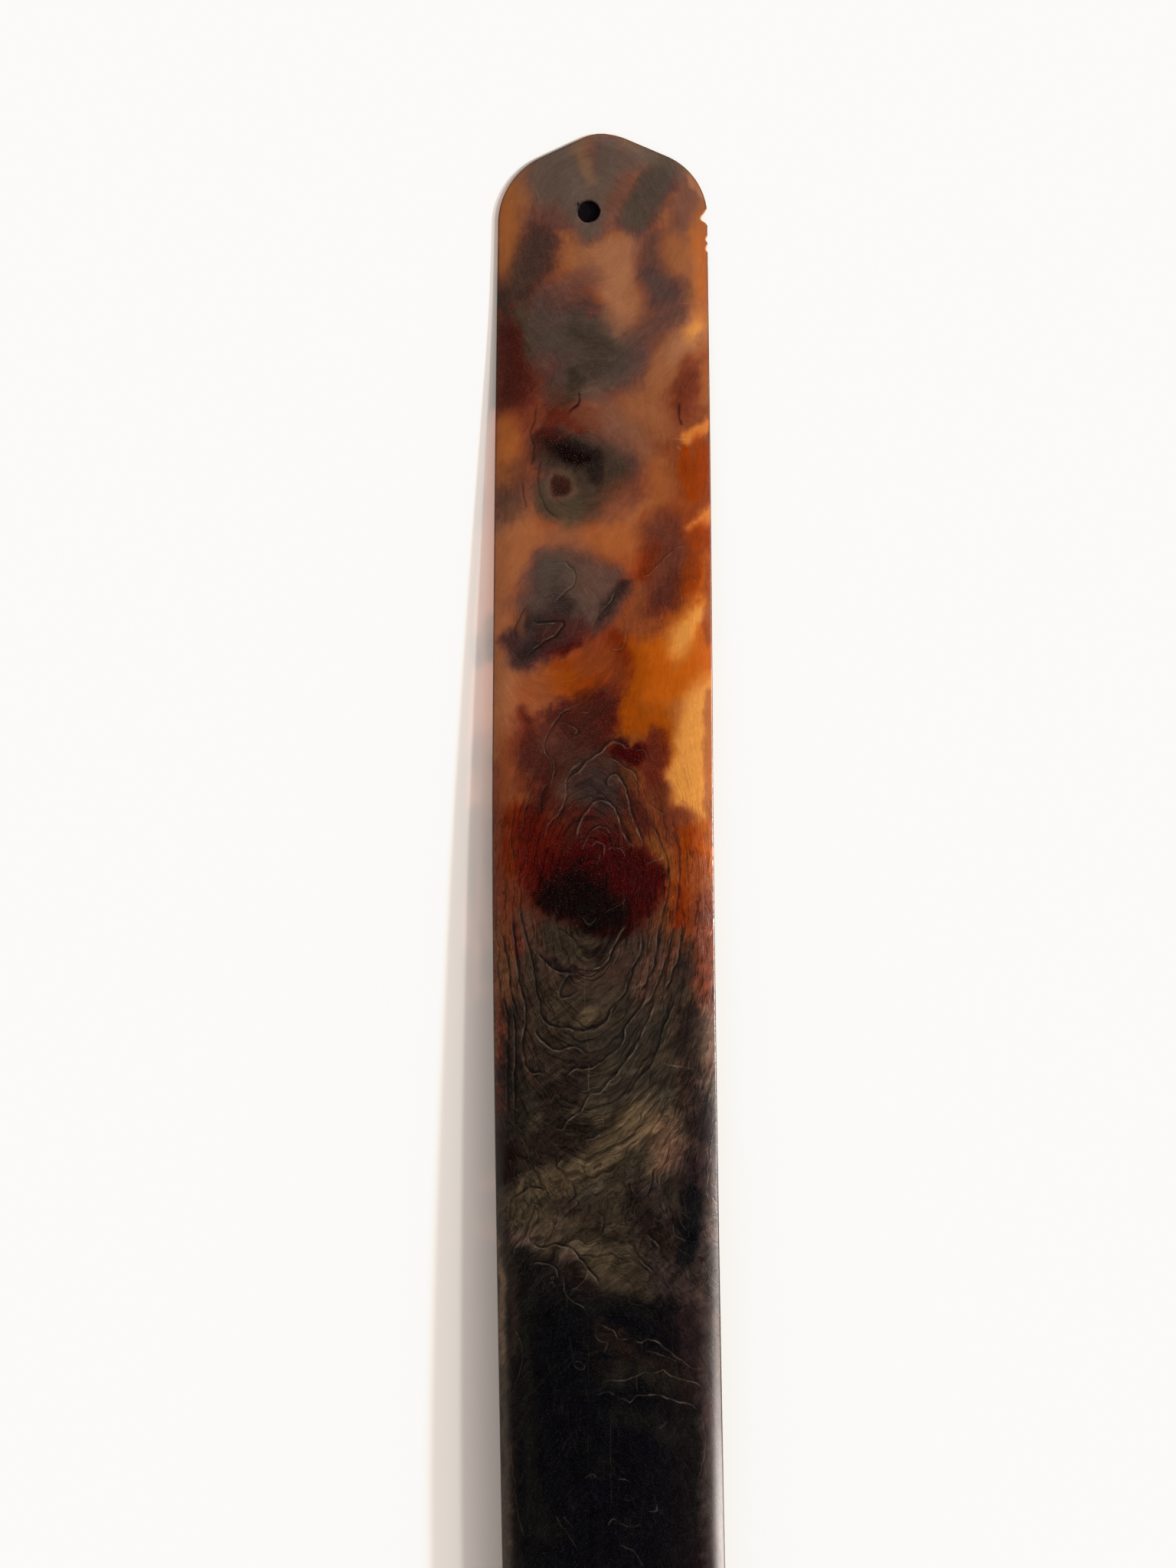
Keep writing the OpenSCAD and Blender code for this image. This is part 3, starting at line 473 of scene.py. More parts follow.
    ("bog", 0.8, 1.2, [(-10, 112, 1.4), (-9, 120, 1.6), (-7, 127, 1.6)]),
    ("moss", 0.7, 1.2, [(-9, 133, 1.2), (-4, 131, 1.6), (1, 134, 1.4)]),
    ("coal", 0.85, 1, [(-7, 131, 1.4), (-4.5, 128.6, 1.6), (-2.4, 126.8, 1)]),
    ("coal", 0.8, 0.8, [(-8, 134.5, 1), (-4, 134, 1.1), (-1.5, 135.5, 0.8)]),
    ("moss", 0.8, 1.4, [(3, 134.5, 1.6), (7, 133, 1.4), (1, 138, 1.8), (-4, 141, 1.4), (-9, 142.5, 1.4)]),
    ("olive", 0.85, 1.4, [(-10, 146.5, 1.4), (-7, 148, 1.8), (-3, 149.5, 1.6), (1, 153, 1.8)]),
    ("coal", 0.85, 1, [(4.5, 143, 1.2), (5, 147, 1.6), (8.5, 149.5, 1.6), (10, 147, 1.2)]),
    ("jet", 0.8, 0.8, [(11.5, 143, 1), (12, 148, 1.2), (11, 152, 0.8)]),
    ("ink", 0.85, 1.2, [(-11, 152, 1.4), (-8.5, 155, 2.4), (-7, 160, 3), (-4, 166, 3.4)]),
    # corrections at the point
    ("slate", 0.9, 1, [(8.6, 5.4, 1.5), (6.4, 8.4, 2.2), (4.2, 12, 1.5)]),
    ("lilac", 0.6, 1.4, [(-9, 15, 1.2), (-10.6, 18, 1.4), (-11.8, 20.5, 1)]),
    ("umber", 0.5, 1.6, [(-8.4, 14.4, 1.6), (-10, 17.6, 1.8), (-11.6, 21, 1.2)]),
    ("tan", 0.7, 1.4, [(-12.6, 11, 1), (-12.8, 15, 1), (-13.4, 19, 0.6)]),
    ("sand", 0.8, 1.6, [(2, 17, 1.2), (2.4, 21.5, 1.6), (2.6, 25.5, 1.4)]),
    # corrections between the eyes
    ("lilac", 0.7, 1.6, [(-8.4, 60, 1.6), (-6, 65.5, 2), (-10, 69.5, 1.6)]),
    ("mauve", 0.6, 1.6, [(-2, 60.5, 1.8), (0, 63, 1.8)]),
    ("burnt", 0.8, 0.8, [(4.6, 62.5, 1.2), (3, 66, 1.4)]),
    ("soot", 0.8, 0.8, [(2.8, 61.8, 0.8), (1.2, 63.8, 0.7), (-1, 66.6, 0.5)]),
    ("bister", 0.85, 1.8, [(-1, 78, 1.2), (-4, 81.5, 2.6), (-8, 84, 2)]),
    ("maroon", 0.7, 1.6, [(0.5, 76, 0.8), (-2.5, 79.5, 2), (-6, 82, 2.4), (-9, 84, 1.6)]),
    ("mauve", 0.5, 1.2, [(-7, 82.5, 1), (-4, 84, 1.2)]),
    # corrections around the second eye
    ("bister", 0.6, 1.4, [(-3, 86, 2.4), (0.6, 88, 2.4), (1.4, 91.5, 1.4)]),
    ("lilac", 0.7, 1.2, [(-1.6, 88, 1.8), (0.4, 90, 1.4)]),
    ("oxblood", 0.9, 1.6, [(-0.8, 97.5, 1.6), (-2.6, 100, 2.6), (1.6, 100.5, 2.4)]),
    ("core", 0.8, 1.4, [(-3.6, 101.5, 1.6), (-1.6, 103.6, 2.2)]),
    ("burnt", 0.7, 1, [(12.4, 99, 1.2), (13, 104, 1.4), (13, 110, 0.8)]),
    # corrections in the marbled part
    ("khaki", 0.65, 1.4, [(5, 130, 1.2), (7.2, 133, 2), (8, 136.5, 1.8), (6.6, 139.5, 1)]),
    ("dust", 0.8, 0.5, [(13.6, 118, 0.5), (13.9, 124, 0.7), (13.4, 128, 0.5)]),
    ("hazel", 0.9, 0.6, [(13.8, 109, 0.7), (13.9, 114.5, 0.6)]),
    ("hazel", 0.9, 0.5, [(-14.6, 108, 0.6), (-14.6, 118, 0.5), (-14.5, 128, 0.3)]),
    ("soot", 0.9, 1, [(11, 126, 1.2), (11.8, 131, 1.2)]),
    ("ink", 0.85, 1, [(-3.4, 157, 1), (-0.6, 158.6, 1), (2.5, 157.4, 0.8), (5.5, 159, 0.8)]),
    ("peat", 0.5, 0.8, [(-10.4, 158, 0.4), (-10.8, 168, 0.4), (-10.4, 188, 0.4)]),
    ("jet", 0.85, 1.4, [(-6, 160, 2.2), (-5, 167, 3), (-4.4, 176, 2.4), (-4, 186, 2)]),
    ("peat", 0.5, 1.2, [(0.5, 168, 1), (4.5, 166.6, 1.2), (8.6, 168.6, 1)]),
    ("peat", 0.5, 1.2, [(1.5, 172.6, 1), (6, 173.6, 1.2), (9.6, 175.5, 1)]),
    ("dust", 0.7, 0.35, [(-14.1, 150, 0.3), (-13.8, 158, 0.4), (-13.6, 166, 0.3)]),
    ("jet", 0.6, 0.8, [(-12, 166, 0.6), (-11.4, 180, 0.8), (-11, 200, 0.8)]),
    ("mauve", 0.5, 0.6, [(15.2, 160, 0.3), (15.7, 175, 0.6), (16.6, 195, 0.8)]),
    ("lilac", 0.7, 1.2, [(13.8, 157, 0.6), (14.4, 172, 1), (15.2, 195, 1.2)]),
    ("sienna", 0.6, 1.2, [(13.2, 105, 1.2), (13.4, 111, 1), (13.8, 117, 0.6)]),
    ("copper", 0.6, 0.8, [(13.8, 104, 0.8), (14.2, 111, 0.6), (14.3, 115, 0.4)]),
    # clearer horn on the left between the clouds; the pale strokes along the left border are partly painted light,
    # against the shade on its slope
    ("copper", 0.6, 1.4, [(-11.6, 38.5, 1), (-8, 41, 0.8), (-11.8, 47, 0.8)]),
    ("sienna", 0.5, 1.2, [(-5.4, 37, 1), (-1.5, 38.8, 1)]),
    ("tan", 0.6, 1.4, [(-11.4, 53, 1.6), (-7.6, 55, 1.4), (-3, 55, 1.4)]),
    ("burnt", 0.6, 1.6, [(-12.6, 62, 1), (-12.2, 66, 0.8)]),
    ("burnt", 0.5, 1.4, [(-11.6, 75.5, 1.6), (-8, 75, 1.4)]),
    ("copper", 0.6, 1.4, [(0.6, 50.4, 1.4), (3.6, 48, 1.2)]),
    ("burnt", 0.7, 1.4, [(-3, 72.6, 1.2), (0.6, 71.6, 1), (1.6, 74.6, 0.8)]),
    ("caramel", 0.6, 1.4, [(-13.4, 56, 0.8), (-13.4, 63, 1), (-13.2, 73, 1.2)]),
    ("caramel", 0.5, 1.2, [(-13.6, 80, 0.7), (-13.4, 90, 0.7)]),
    ("caramel", 0.6, 1.4, [(-0.5, 55, 1.6), (3.6, 56.6, 1.4)]),
    ("coal", 0.5, 1.2, [(-12.6, 126, 1.2), (-12, 132, 1.6), (-12.4, 139, 1.6)]),
    ("coal", 0.45, 1.2, [(12.6, 120, 0.8), (12, 127, 1.2), (12.2, 134, 1)]),
    ("burnt", 0.6, 0.6, [(14, 57, 0.4), (14.2, 69, 0.4)]),
    ("caramel", 0.6, 0.6, [(14.2, 76, 0.5), (14.3, 96, 0.5)]),
    ("sand", 0.6, 1.2, [(-13.6, 54, 0.9), (-13.4, 64, 1.1), (-13.2, 73, 1.2), (-13.2, 80, 0.9)]),
    ("gold", 0.45, 1.2, [(-13.4, 8, 1), (-13.6, 13, 1.2), (-13.6, 17, 1)]),
    ("caramel", 0.55, 1.2, [(13.6, 12, 1.2), (13.8, 18, 1.2), (13.4, 24, 1)]),
    ("sand", 0.35, 2, [(-1, 37.5, 2), (3, 40, 2)]),
    ("tan", 0.45, 1.6, [(5.5, 38, 1.6), (6, 42, 1.6)]),
    ("tan", 0.85, 1.2, [(-11.5, 55, 1.6), (-11.8, 59, 1.4), (-12.8, 62.5, 0.9)]),
    ("slate", 0.7, 1, [(-8.4, 60.5, 1.2), (-7, 58.5, 1.3), (-9.4, 63.5, 1.2)]),
    ("plum", 0.6, 0.9, [(-12.4, 68.5, 0.9), (-11.4, 71, 0.9), (-9, 69.6, 0.9)]),
    ("maroon", 0.5, 0.9, [(-6, 66.5, 1), (-3.5, 66.6, 0.9), (-7.8, 68.6, 1)]),
    ("coal", 0.55, 0.5, [(2.6, 61.2, 0.6), (1.4, 63.4, 0.4), (-0.4, 65.6, 0.3)]),
    ("umber", 0.45, 1.6, [(7.5, 54, 1.6), (9, 58, 1.8), (8, 63, 1.6)]),
    ("copper", 0.45, 1.2, [(-13, 105, 1), (-12.6, 110, 0.8)]),
    ("peat", 0.45, 1.2, [(-12.8, 128, 1), (-9.5, 131, 1.4), (-12.6, 135, 1.2)]),
    ("ash", 0.4, 1.4, [(5, 129, 1.4), (8, 131, 1.4)]),
    ("gold", 0.45, 1, [(-13.4, 40, 1), (-13.2, 43.5, 1), (-13.6, 46.5, 0.8)]),
    ("maroon", 0.7, 0.6, [(-8.2, 40.8, 0.8), (-6, 41, 0.9)]),
    ("moss", 0.4, 0.6, [(-5.7, 47.9, 2)]),
    ("bister", 0.97, 0.4, [(-5.7, 47.9, 1.2)]),
    ("coal", 0.35, 1.6, [(-8, 122, 1.6), (-7, 128, 1.6), (-6.4, 132, 1.4)]),
    ("mauve", 0.4, 1.2, [(-12, 64, 0.8), (-10, 61, 0.8)]),
    ("core", 0.25, 0.5, [(-5.7, 47.9, 1)]),
    ("core", 0.35, 0.9, [(-7.6, 43, 0.9), (-5, 43.2, 1)]),
    ("tan", 0.4, 0.9, [(2.5, 50.5, 1), (0, 52.6, 1)]),
]
# The part of the blade towards the round end.
PIGMENT += [
    ("plum", 0.8, 2.5, [(9, 204, 3), (11, 214, 3.5), (10, 222, 2)]),
    ("coal", 0.8, 2.5, [(-7, 207, 2.5), (-6, 216, 2), (-9, 226, 2.5)]),
    ("smoke", 0.7, 3, [(-3, 232, 2.5), (2, 238, 3.5), (7, 241, 2)]),
    ("maroon", 0.8, 2.5, [(9, 246, 2.5), (8, 255, 3)]),
    ("brick", 0.8, 2.5, [(-7, 250, 2), (-8, 259, 3), (-5, 266, 2)]),
    ("jet", 0.9, 2, [(1, 258, 3), (4, 266, 3.5), (2, 275, 2.5)]),
    ("copper", 0.8, 2.5, [(11, 268, 2), (12, 276, 3), (8, 284, 2)]),
    ("coal", 0.9, 2, [(-6, 277, 3), (-3, 285, 3)]),
    ("burnt", 0.7, 2.5, [(-9, 288, 2), (3, 294, 3), (9, 291, 2)]),
]
# Growth lines: how pale the ridge is, how dark the groove beside it, width in mm, then x and s.
VEINS = [
    (0.5, 0, 0.12, [(-10, 6), (-9, 8), (-8.5, 10)]),
    (0.5, 0, 0.12, [(10, 23), (11.5, 23), (13.5, 23)]),
    (0.1, 0.35, 0.15, [(-8.5, 44), (-9, 47), (-8.5, 49.5), (-7.5, 51.5), (-5.5, 52.5)]),
    (0.2, 0.6, 0.21, [(-3.5, 35), (-3.5, 36.5), (-5, 38)]),
    (0.0, 0.6, 0.19, [(10, 36.5), (10, 38.5), (10.5, 40)]),
    (0.9, 0, 0.12, [(9, 41.5), (10, 41.5), (11.5, 41.5)]),
    (0.6, 0, 0.21, [(10, 42.5), (10.5, 43)]),
    (0.1, 0.4, 0.15, [(-9, 36.5), (-9.5, 39), (-10, 40.5), (-9.5, 43.5), (-10, 45.5)]),
    (0.1, 0.4, 0.13, [(-11, 47.5), (-11, 49), (-10.5, 51)]),
    (0.6, 0, 0.12, [(-5, 42), (-5, 42.5)]),
    (0.7, 0.3, 0.15, [(-5.5, 58), (-4, 59.5), (-4, 61), (-5, 62), (-6, 63), (-6.5, 64)]),
    (0.7, 0.3, 0.15, [(1.5, 62), (1, 63.5), (-0.5, 65), (-1.5, 67)]),
    (0.7, 0.6, 0.19, [(-10, 66), (-9, 66.5), (-7.5, 66.5), (-5.5, 66.5), (-6.5, 68), (-7.5, 68.5), (-9.5, 70), (-10.5, 71)]),
    (0.6, 0.2, 0.14, [(5, 60), (6, 60), (7, 59), (8, 58), (9.5, 56.5), (11, 56)]),
    (0.5, 0.2, 0.13, [(3, 67.5), (3, 69), (2.5, 70), (1, 70)]),
    (0.4, 0.1, 0.13, [(7, 65.5), (8, 67), (7.5, 68)]),
    (0.5, 0.4, 0.15, [(-10.5, 64), (-12, 67), (-12, 69)]),
    (0.8, 0.3, 0.15, [(-6, 80), (-5, 80), (-4, 80.5), (-3.5, 81), (-4, 81.5)]),
    (0.7, 0.3, 0.15, [(-3.5, 77.5), (-5.5, 78.5), (-6, 79), (-7, 80.5), (-8, 82.5), (-8, 83.5), (-7.5, 84.5), (-6.5, 84.5)]),
    (0.6, 0.3, 0.14, [(-7, 84.5), (-6.5, 86), (-7, 88)]),
    (0.4, 0.1, 0.13, [(-3, 78.5), (-2, 78.5)]),
    (1, 0.5, 0.20, [(-5, 89), (-5, 88), (-3.5, 86.5), (-2, 85), (-0.5, 84), (0.5, 83), (1, 82.5), (2, 82.5), (3.5, 83.5)]),
    (0.6, 0.3, 0.14, [(3.5, 83.5), (4.5, 83.5), (5.5, 83.5), (6, 85)]),
    (0.9, 0.4, 0.19, [(-3, 85), (-5, 87.5), (-5, 89.5), (-6, 92), (-7.5, 94), (-8, 95.5)]),
    (0.8, 0.4, 0.16, [(0.5, 84.5), (1.5, 85), (3, 86), (4, 86.5), (4.5, 88.5), (4.5, 90.5)]),
    (0.9, 0.5, 0.19, [(1.5, 88), (1, 88.5), (0.5, 88), (1, 87), (2, 87), (2.5, 88), (3, 89), (3.5, 91), (4, 93), (5, 95.5), (5.5, 97)]),
    (0.9, 0.5, 0.19, [(-4, 96), (-3, 93), (-2, 91.5), (-1, 90.5), (0.5, 90.5), (1.5, 91.5), (2, 93), (2.5, 94.5), (3.5, 96), (4.5, 97)]),
    (0.7, 0.5, 0.16, [(-3, 97), (-2, 95), (-1, 94), (0.5, 94), (1, 95)]),
    (0.8, 0.2, 0.19, [(0, 98), (0, 96.5), (-1, 96), (-1.5, 96.5)]),
    (0.7, 0.2, 0.15, [(0.5, 97), (1, 96.5), (2.5, 97), (3, 98)]),
    (0.4, 0.1, 0.13, [(-1, 99), (-0.5, 97.5)]),
    (0.4, 0.2, 0.13, [(7.5, 89.5), (7, 90), (6, 90.5), (7, 91.5), (8.5, 92.5)]),
    (1, 0, 0.14, [(5.5, 99), (8, 98)]),
    (0.5, 0.2, 0.15, [(-3, 106), (-2, 107), (-1, 106)]),
    (0.4, 0.1, 0.13, [(0, 105.5), (2, 104.5), (3, 103.5)]),
    (1, 0.6, 0.20, [(3, 107), (2, 109), (1, 110.5), (0.5, 112), (-1, 113), (-1.5, 113), (-2.5, 114)]),
    (0.2, 0.5, 0.15, [(-6.5, 107.5), (-5.5, 108), (-3.5, 109.5)]),
    (0.7, 0.8, 0.20, [(-9.5, 110.5), (-8, 112), (-6, 113.5), (-4.5, 113.5), (-5, 114), (-5.5, 115), (-6, 116), (-5.5, 117), (-4, 116.5), (-3, 116)]),
    (0.4, 0.8, 0.19, [(-11.5, 104), (-11, 107), (-10, 110.5), (-9.5, 113), (-9, 116.5), (-8, 119)]),
    (0.5, 0.7, 0.18, [(-12.5, 105.5), (-12, 110), (-11.5, 114), (-10.5, 118.5)]),
    (0.4, 0.8, 0.18, [(-14, 107.5), (-13, 112), (-12.5, 116.5), (-11.5, 120)]),
    (0.3, 0.6, 0.16, [(-14.5, 111.5), (-14, 116.5), (-13.5, 120)]),
    (0.3, 0.4, 0.15, [(-12, 92), (-12.5, 95), (-12, 99.5)]),
    (0.3, 0.4, 0.15, [(-9.5, 88.5), (-10.5, 91.5), (-11, 94.5)]),
    (0.3, 0.4, 0.15, [(-7.5, 88), (-8.5, 89.5), (-8.5, 92)]),
    (0.3, 0.5, 0.15, [(6, 92.5), (7.5, 96), (8.5, 98.5), (8.5, 103), (7.5, 106.5)]),
    (0.3, 0.5, 0.15, [(9, 94), (10, 97.5), (10, 102), (9.5, 106.5)]),
    (0.4, 0.8, 0.19, [(7.5, 106.5), (7, 110), (6.5, 113), (4.5, 116.5)]),
    (0.5, 0.8, 0.19, [(9.5, 106.5), (8.5, 111), (7.5, 114), (6.5, 116.5), (5, 118.5)]),
    (0.6, 0.7, 0.18, [(10.5, 106.5), (10, 111), (9, 114), (8, 116.5)]),
    (0.5, 0.9, 0.20, [(5, 107.5), (5, 110.5), (4, 112.5), (3.5, 114), (2.5, 116.5), (0.5, 118.5), (0.5, 119.5)]),
    (0.5, 0.9, 0.21, [(-9, 116), (-8.5, 119), (-7.5, 120.5), (-6, 121), (-5, 121), (-3, 121.5), (-1.5, 121), (-1, 121), (0.5, 120), (1, 118.5), (3, 116.5)]),
    (1, 0.6, 0.19, [(-9.5, 120.5), (-9, 122), (-8, 123), (-6.5, 124), (-4, 123.5), (-3, 124), (-2, 124.5)]),
    (0.7, 0.9, 0.20, [(-11, 116), (-10.5, 119.5), (-11, 123), (-10.5, 126), (-9.5, 127), (-8, 127), (-7.5, 127.5)]),
    (0.9, 0.8, 0.20, [(-5.5, 128), (-4, 126.5), (-2.5, 126.5), (-1, 126), (1, 124.5), (2.5, 123), (3, 121), (4, 119.5), (5.5, 117.5), (6, 116)]),
    (1, 0.5, 0.19, [(-7.5, 134.5), (-5.5, 134.5), (-5, 133.5), (-3, 132), (-2, 130), (-0.5, 129.5), (1, 128), (2.5, 126), (4, 124), (5.5, 121), (6.5, 119), (7, 116)]),
    (0.5, 0.9, 0.19, [(3, 130.5), (4, 129), (5, 127.5), (6.5, 126), (7.5, 123.5), (8, 121), (9, 119), (10, 116)]),
    (0.9, 0.3, 0.18, [(-2.5, 136), (-1, 135.5), (-0.5, 135)]),
    (0.4, 0.2, 0.15, [(1, 131.5), (0, 132.5), (0, 134)]),
    (0.9, 0, 0.13, [(7.5, 125.5), (9.5, 126), (12.5, 126.5)]),
    (0.8, 0, 0.13, [(-2, 126), (-2, 128.5), (-1.5, 130.5)]),
    (0.4, 0, 0.12, [(-2.5, 111.5), (-2.5, 116), (-2.5, 120.5), (-2, 124.5)]),
    (0.3, 0.9, 0.20, [(-14, 116), (-13, 119.5), (-13, 124), (-13, 128.5), (-13, 133)]),
    (0.5, 0.8, 0.18, [(-12.5, 117.5), (-12, 120.5), (-12, 125), (-12, 129.5), (-12, 132)]),
    (0.5, 0, 0.12, [(-14.5, 128.5), (-13.5, 128.5)]),
    (0.5, 0.7, 0.19, [(-12, 144), (-10, 142.5), (-8.5, 142.5), (-8, 143)]),
    (0.4, 0.5, 0.15, [(-9.5, 144.5), (-8.5, 145)]),
    (0.5, 0, 0.13, [(13.5, 137.5), (15, 136.5)]),
    (0.7, 0.5, 0.16, [(5.5, 148.5), (7, 149.5), (7.5, 150.5)]),
    (0.5, 0.4, 0.15, [(3, 149.5), (4, 150.5)]),
    (0.3, 0.7, 0.18, [(7, 139.5), (6.5, 140.5), (6, 142.5), (5, 144)]),
    (0.3, 0.6, 0.18, [(-4.5, 141.5), (-4, 143), (-5, 144.5)]),
    (0.2, 0.6, 0.18, [(-1, 145.5), (0, 146.5), (-0.5, 148.5)]),
    (0.4, 0.5, 0.15, [(9.5, 147), (9.5, 148.5), (11, 149.5)]),
    (0.9, 0.7, 0.19, [(-10, 149.5), (-8.5, 150.5), (-6.5, 150), (-4.5, 150.5), (-3, 152), (-1.5, 154), (-0.5, 155.5)]),
    (0.7, 0.6, 0.16, [(-9.5, 152.5), (-8, 152.5), (-6.5, 153), (-6, 154.5)]),
    (0.7, 0.5, 0.15, [(-5.5, 154), (-5, 156.5), (-4, 157.5), (-2.5, 158.5), (-2, 159.5)]),
    (0.6, 0.4, 0.14, [(-7.5, 155.5), (-7, 154.5), (-6.5, 155.5)]),
    (0.6, 0.4, 0.14, [(-4.5, 156), (-3.5, 155.5), (-2.5, 154.5), (-2, 153)]),
    (0.5, 0.6, 0.16, [(3.5, 149.5), (4.5, 151.5), (6, 153), (7, 154)]),
    (0.6, 0.3, 0.15, [(5.5, 149), (7, 149.5), (7.5, 151)]),
    (0.8, 0.4, 0.16, [(-1, 160.5), (0.5, 161), (1.5, 161.5), (2, 162.5), (3.5, 162.5)]),
    (0.6, 0.3, 0.15, [(-1, 161), (-1, 162.5), (0.5, 163), (0, 164.5)]),
    (1, 0.3, 0.16, [(4, 162.5), (5, 163), (6, 162.5), (7.5, 163), (8.5, 164), (10.5, 165.5), (12, 166.5), (13.5, 166.5)]),
    (0.6, 0.2, 0.14, [(5.5, 164), (7.5, 164.5), (8.5, 165), (10, 165.5)]),
    (1, 0.3, 0.16, [(-1, 168.5), (1, 168), (2.5, 168), (4.5, 167.5), (5.5, 167), (7, 167), (8, 166.5), (9, 167.5), (11, 168), (12.5, 168.5), (13.5, 169.5)]),
    (1, 0.3, 0.16, [(1.5, 170.5), (3, 170.5), (3.5, 171), (4.5, 170), (6, 170), (7.5, 170), (8.5, 170.5), (10.5, 171), (12, 171.5), (13, 172.5)]),
    (0.6, 0.2, 0.14, [(-1, 170), (0.5, 169.5), (1.5, 170)]),
    (0.6, 0.2, 0.13, [(-4, 165.5), (-3.5, 166.5), (-2.5, 166.5), (-3, 165.5), (-4, 165.5)]),
    (0.5, 0.2, 0.14, [(13, 172.5), (13.5, 175), (13.5, 178), (12.5, 182.5)]),
    (0.8, 0.2, 0.14, [(0.5, 187.5), (1, 186.5), (2, 187), (3.5, 187.5), (4.5, 187.5), (5, 187)]),
    (0.6, 0.2, 0.14, [(2, 190), (3.5, 190.5), (4.5, 191.5), (5.5, 193)]),
    (0.8, 0.1, 0.16, [(-2.5, 181), (-1.5, 180.5), (-1, 181)]),
    (0.7, 0.1, 0.14, [(2, 181), (3.5, 181.5)]),
    (0.6, 0.1, 0.14, [(2.5, 184), (3.5, 184)]),
    (0.7, 0.1, 0.14, [(6, 185.5), (7, 185.5), (7, 184.5)]),
    (0.5, 0.1, 0.13, [(-5.5, 177.5), (-5, 176), (-4, 175.5)]),
    (0.3, 0, 0.10, [(1, 173), (1, 186)]),
    (0.2, 0, 0.10, [(-2, 159.5), (-2, 172)]),
    (0.5, 0.3, 0.14, [(-12, 161), (-11, 163.5), (-11, 166), (-12, 169.5)]),
    (0.4, 0.3, 0.14, [(-12.5, 176.5), (-12, 181), (-11.5, 185.5), (-10.5, 189.5)]),
    (0.4, 0.2, 0.13, [(-6.5, 186), (-4.5, 189), (-3.5, 190.5)]),
    (0.4, 0.2, 0.13, [(-5.5, 186), (-4, 188)]),
    (0.4, 0.1, 0.13, [(4.5, 167.5), (4.5, 169.5)]),
    (0.6, 0.1, 0.14, [(7.5, 174.5), (8.5, 173.5)]),
]
VEINS += [
    (0.6, 0.5, 0.18, [(-6, 200), (-2, 202), (3, 201), (7, 204), (9, 209)]),
    (0.5, 0.5, 0.18, [(-8, 209), (-3, 212), (4, 211), (8, 215)]),
    (0.6, 0.5, 0.18, [(-9, 221), (-4, 226), (2, 227), (6, 224), (10, 227)]),
    (0.5, 0.4, 0.18, [(-7, 236), (-1, 240), (5, 246), (9, 252)]),
    (0.5, 0.4, 0.18, [(-9, 244), (-3, 250), (2, 256), (6, 264)]),
    (0.4, 0.4, 0.18, [(-5, 268), (1, 272), (8, 270)]),
]


SOFTER = 1.7


def to_linear(c):
    c = np.asarray(c, float) / 255
    return np.where(c <= 0.04045, c / 12.92, ((c + 0.055) / 1.055) ** 2.4)


def smooth_line(points, step=0.35):
    """Points of a rounded curve through the given ones; every column is carried along."""
    p = np.array(points, float)
    if len(p) < 3:
        return p
    q = np.vstack([2 * p[0] - p[1], p, 2 * p[-1] - p[-2]])
    out = []
    for i in range(1, len(q) - 2):
        n = max(2, int(np.hypot(*(q[i + 1, :2] - q[i, :2])) / step))
        t = (np.arange(n) / n)[:, None]
        out.append(0.5 * (2 * q[i] + (q[i + 1] - q[i - 1]) * t + (2 * q[i - 1] - 5 * q[i] + 4 * q[i + 1] - q[i + 2]) * t ** 2
                          + (3 * q[i] - q[i - 1] - 3 * q[i + 1] + q[i + 2]) * t ** 3))
    out.append(p[-1:])
    return np.vstack(out)


def brush(x, s, pts):
    """Distance outside a tapered stroke, negative inside."""
    best = np.full(x.shape, 1e9)
    pts = np.array(pts, float)
    for a, b in zip(pts[:-1], pts[1:]) if len(pts) > 1 else [(pts[0], pts[0])]:
        dx, ds = b[0] - a[0], b[1] - a[1]
        q = dx * dx + ds * ds
        t = np.clip(((x - a[0]) * dx + (s - a[1]) * ds) / q, 0, 1) if q > 0 else 0.0
        d = np.hypot(x - a[0] - t * dx, s - a[1] - t * ds) - (a[2] + t * (b[2] - a[2]))
        best = np.minimum(best, d)
    return best


def flow(x, s):
    """A number that stays the same along the grain and grows across it."""
    f = [np.hypot((x + 3) / 8.5, (s - 45.5) / 9.5), np.hypot((x + 2) / 8.5, (s - 104) / 19.0),
         np.hypot((x + 1) / 11.0, (s - 200) / 26.0), np.hypot((x - 4) / 12.0, (s - 262) / 18.0),
         np.hypot((x + 6) / 9.0, (s - 66) / 11.0), np.hypot((x + 1) / 12.0, (s - 14) / 16.0)]
    return -0.3 * np.log(sum(np.exp(-q / 0.3) for q in f))


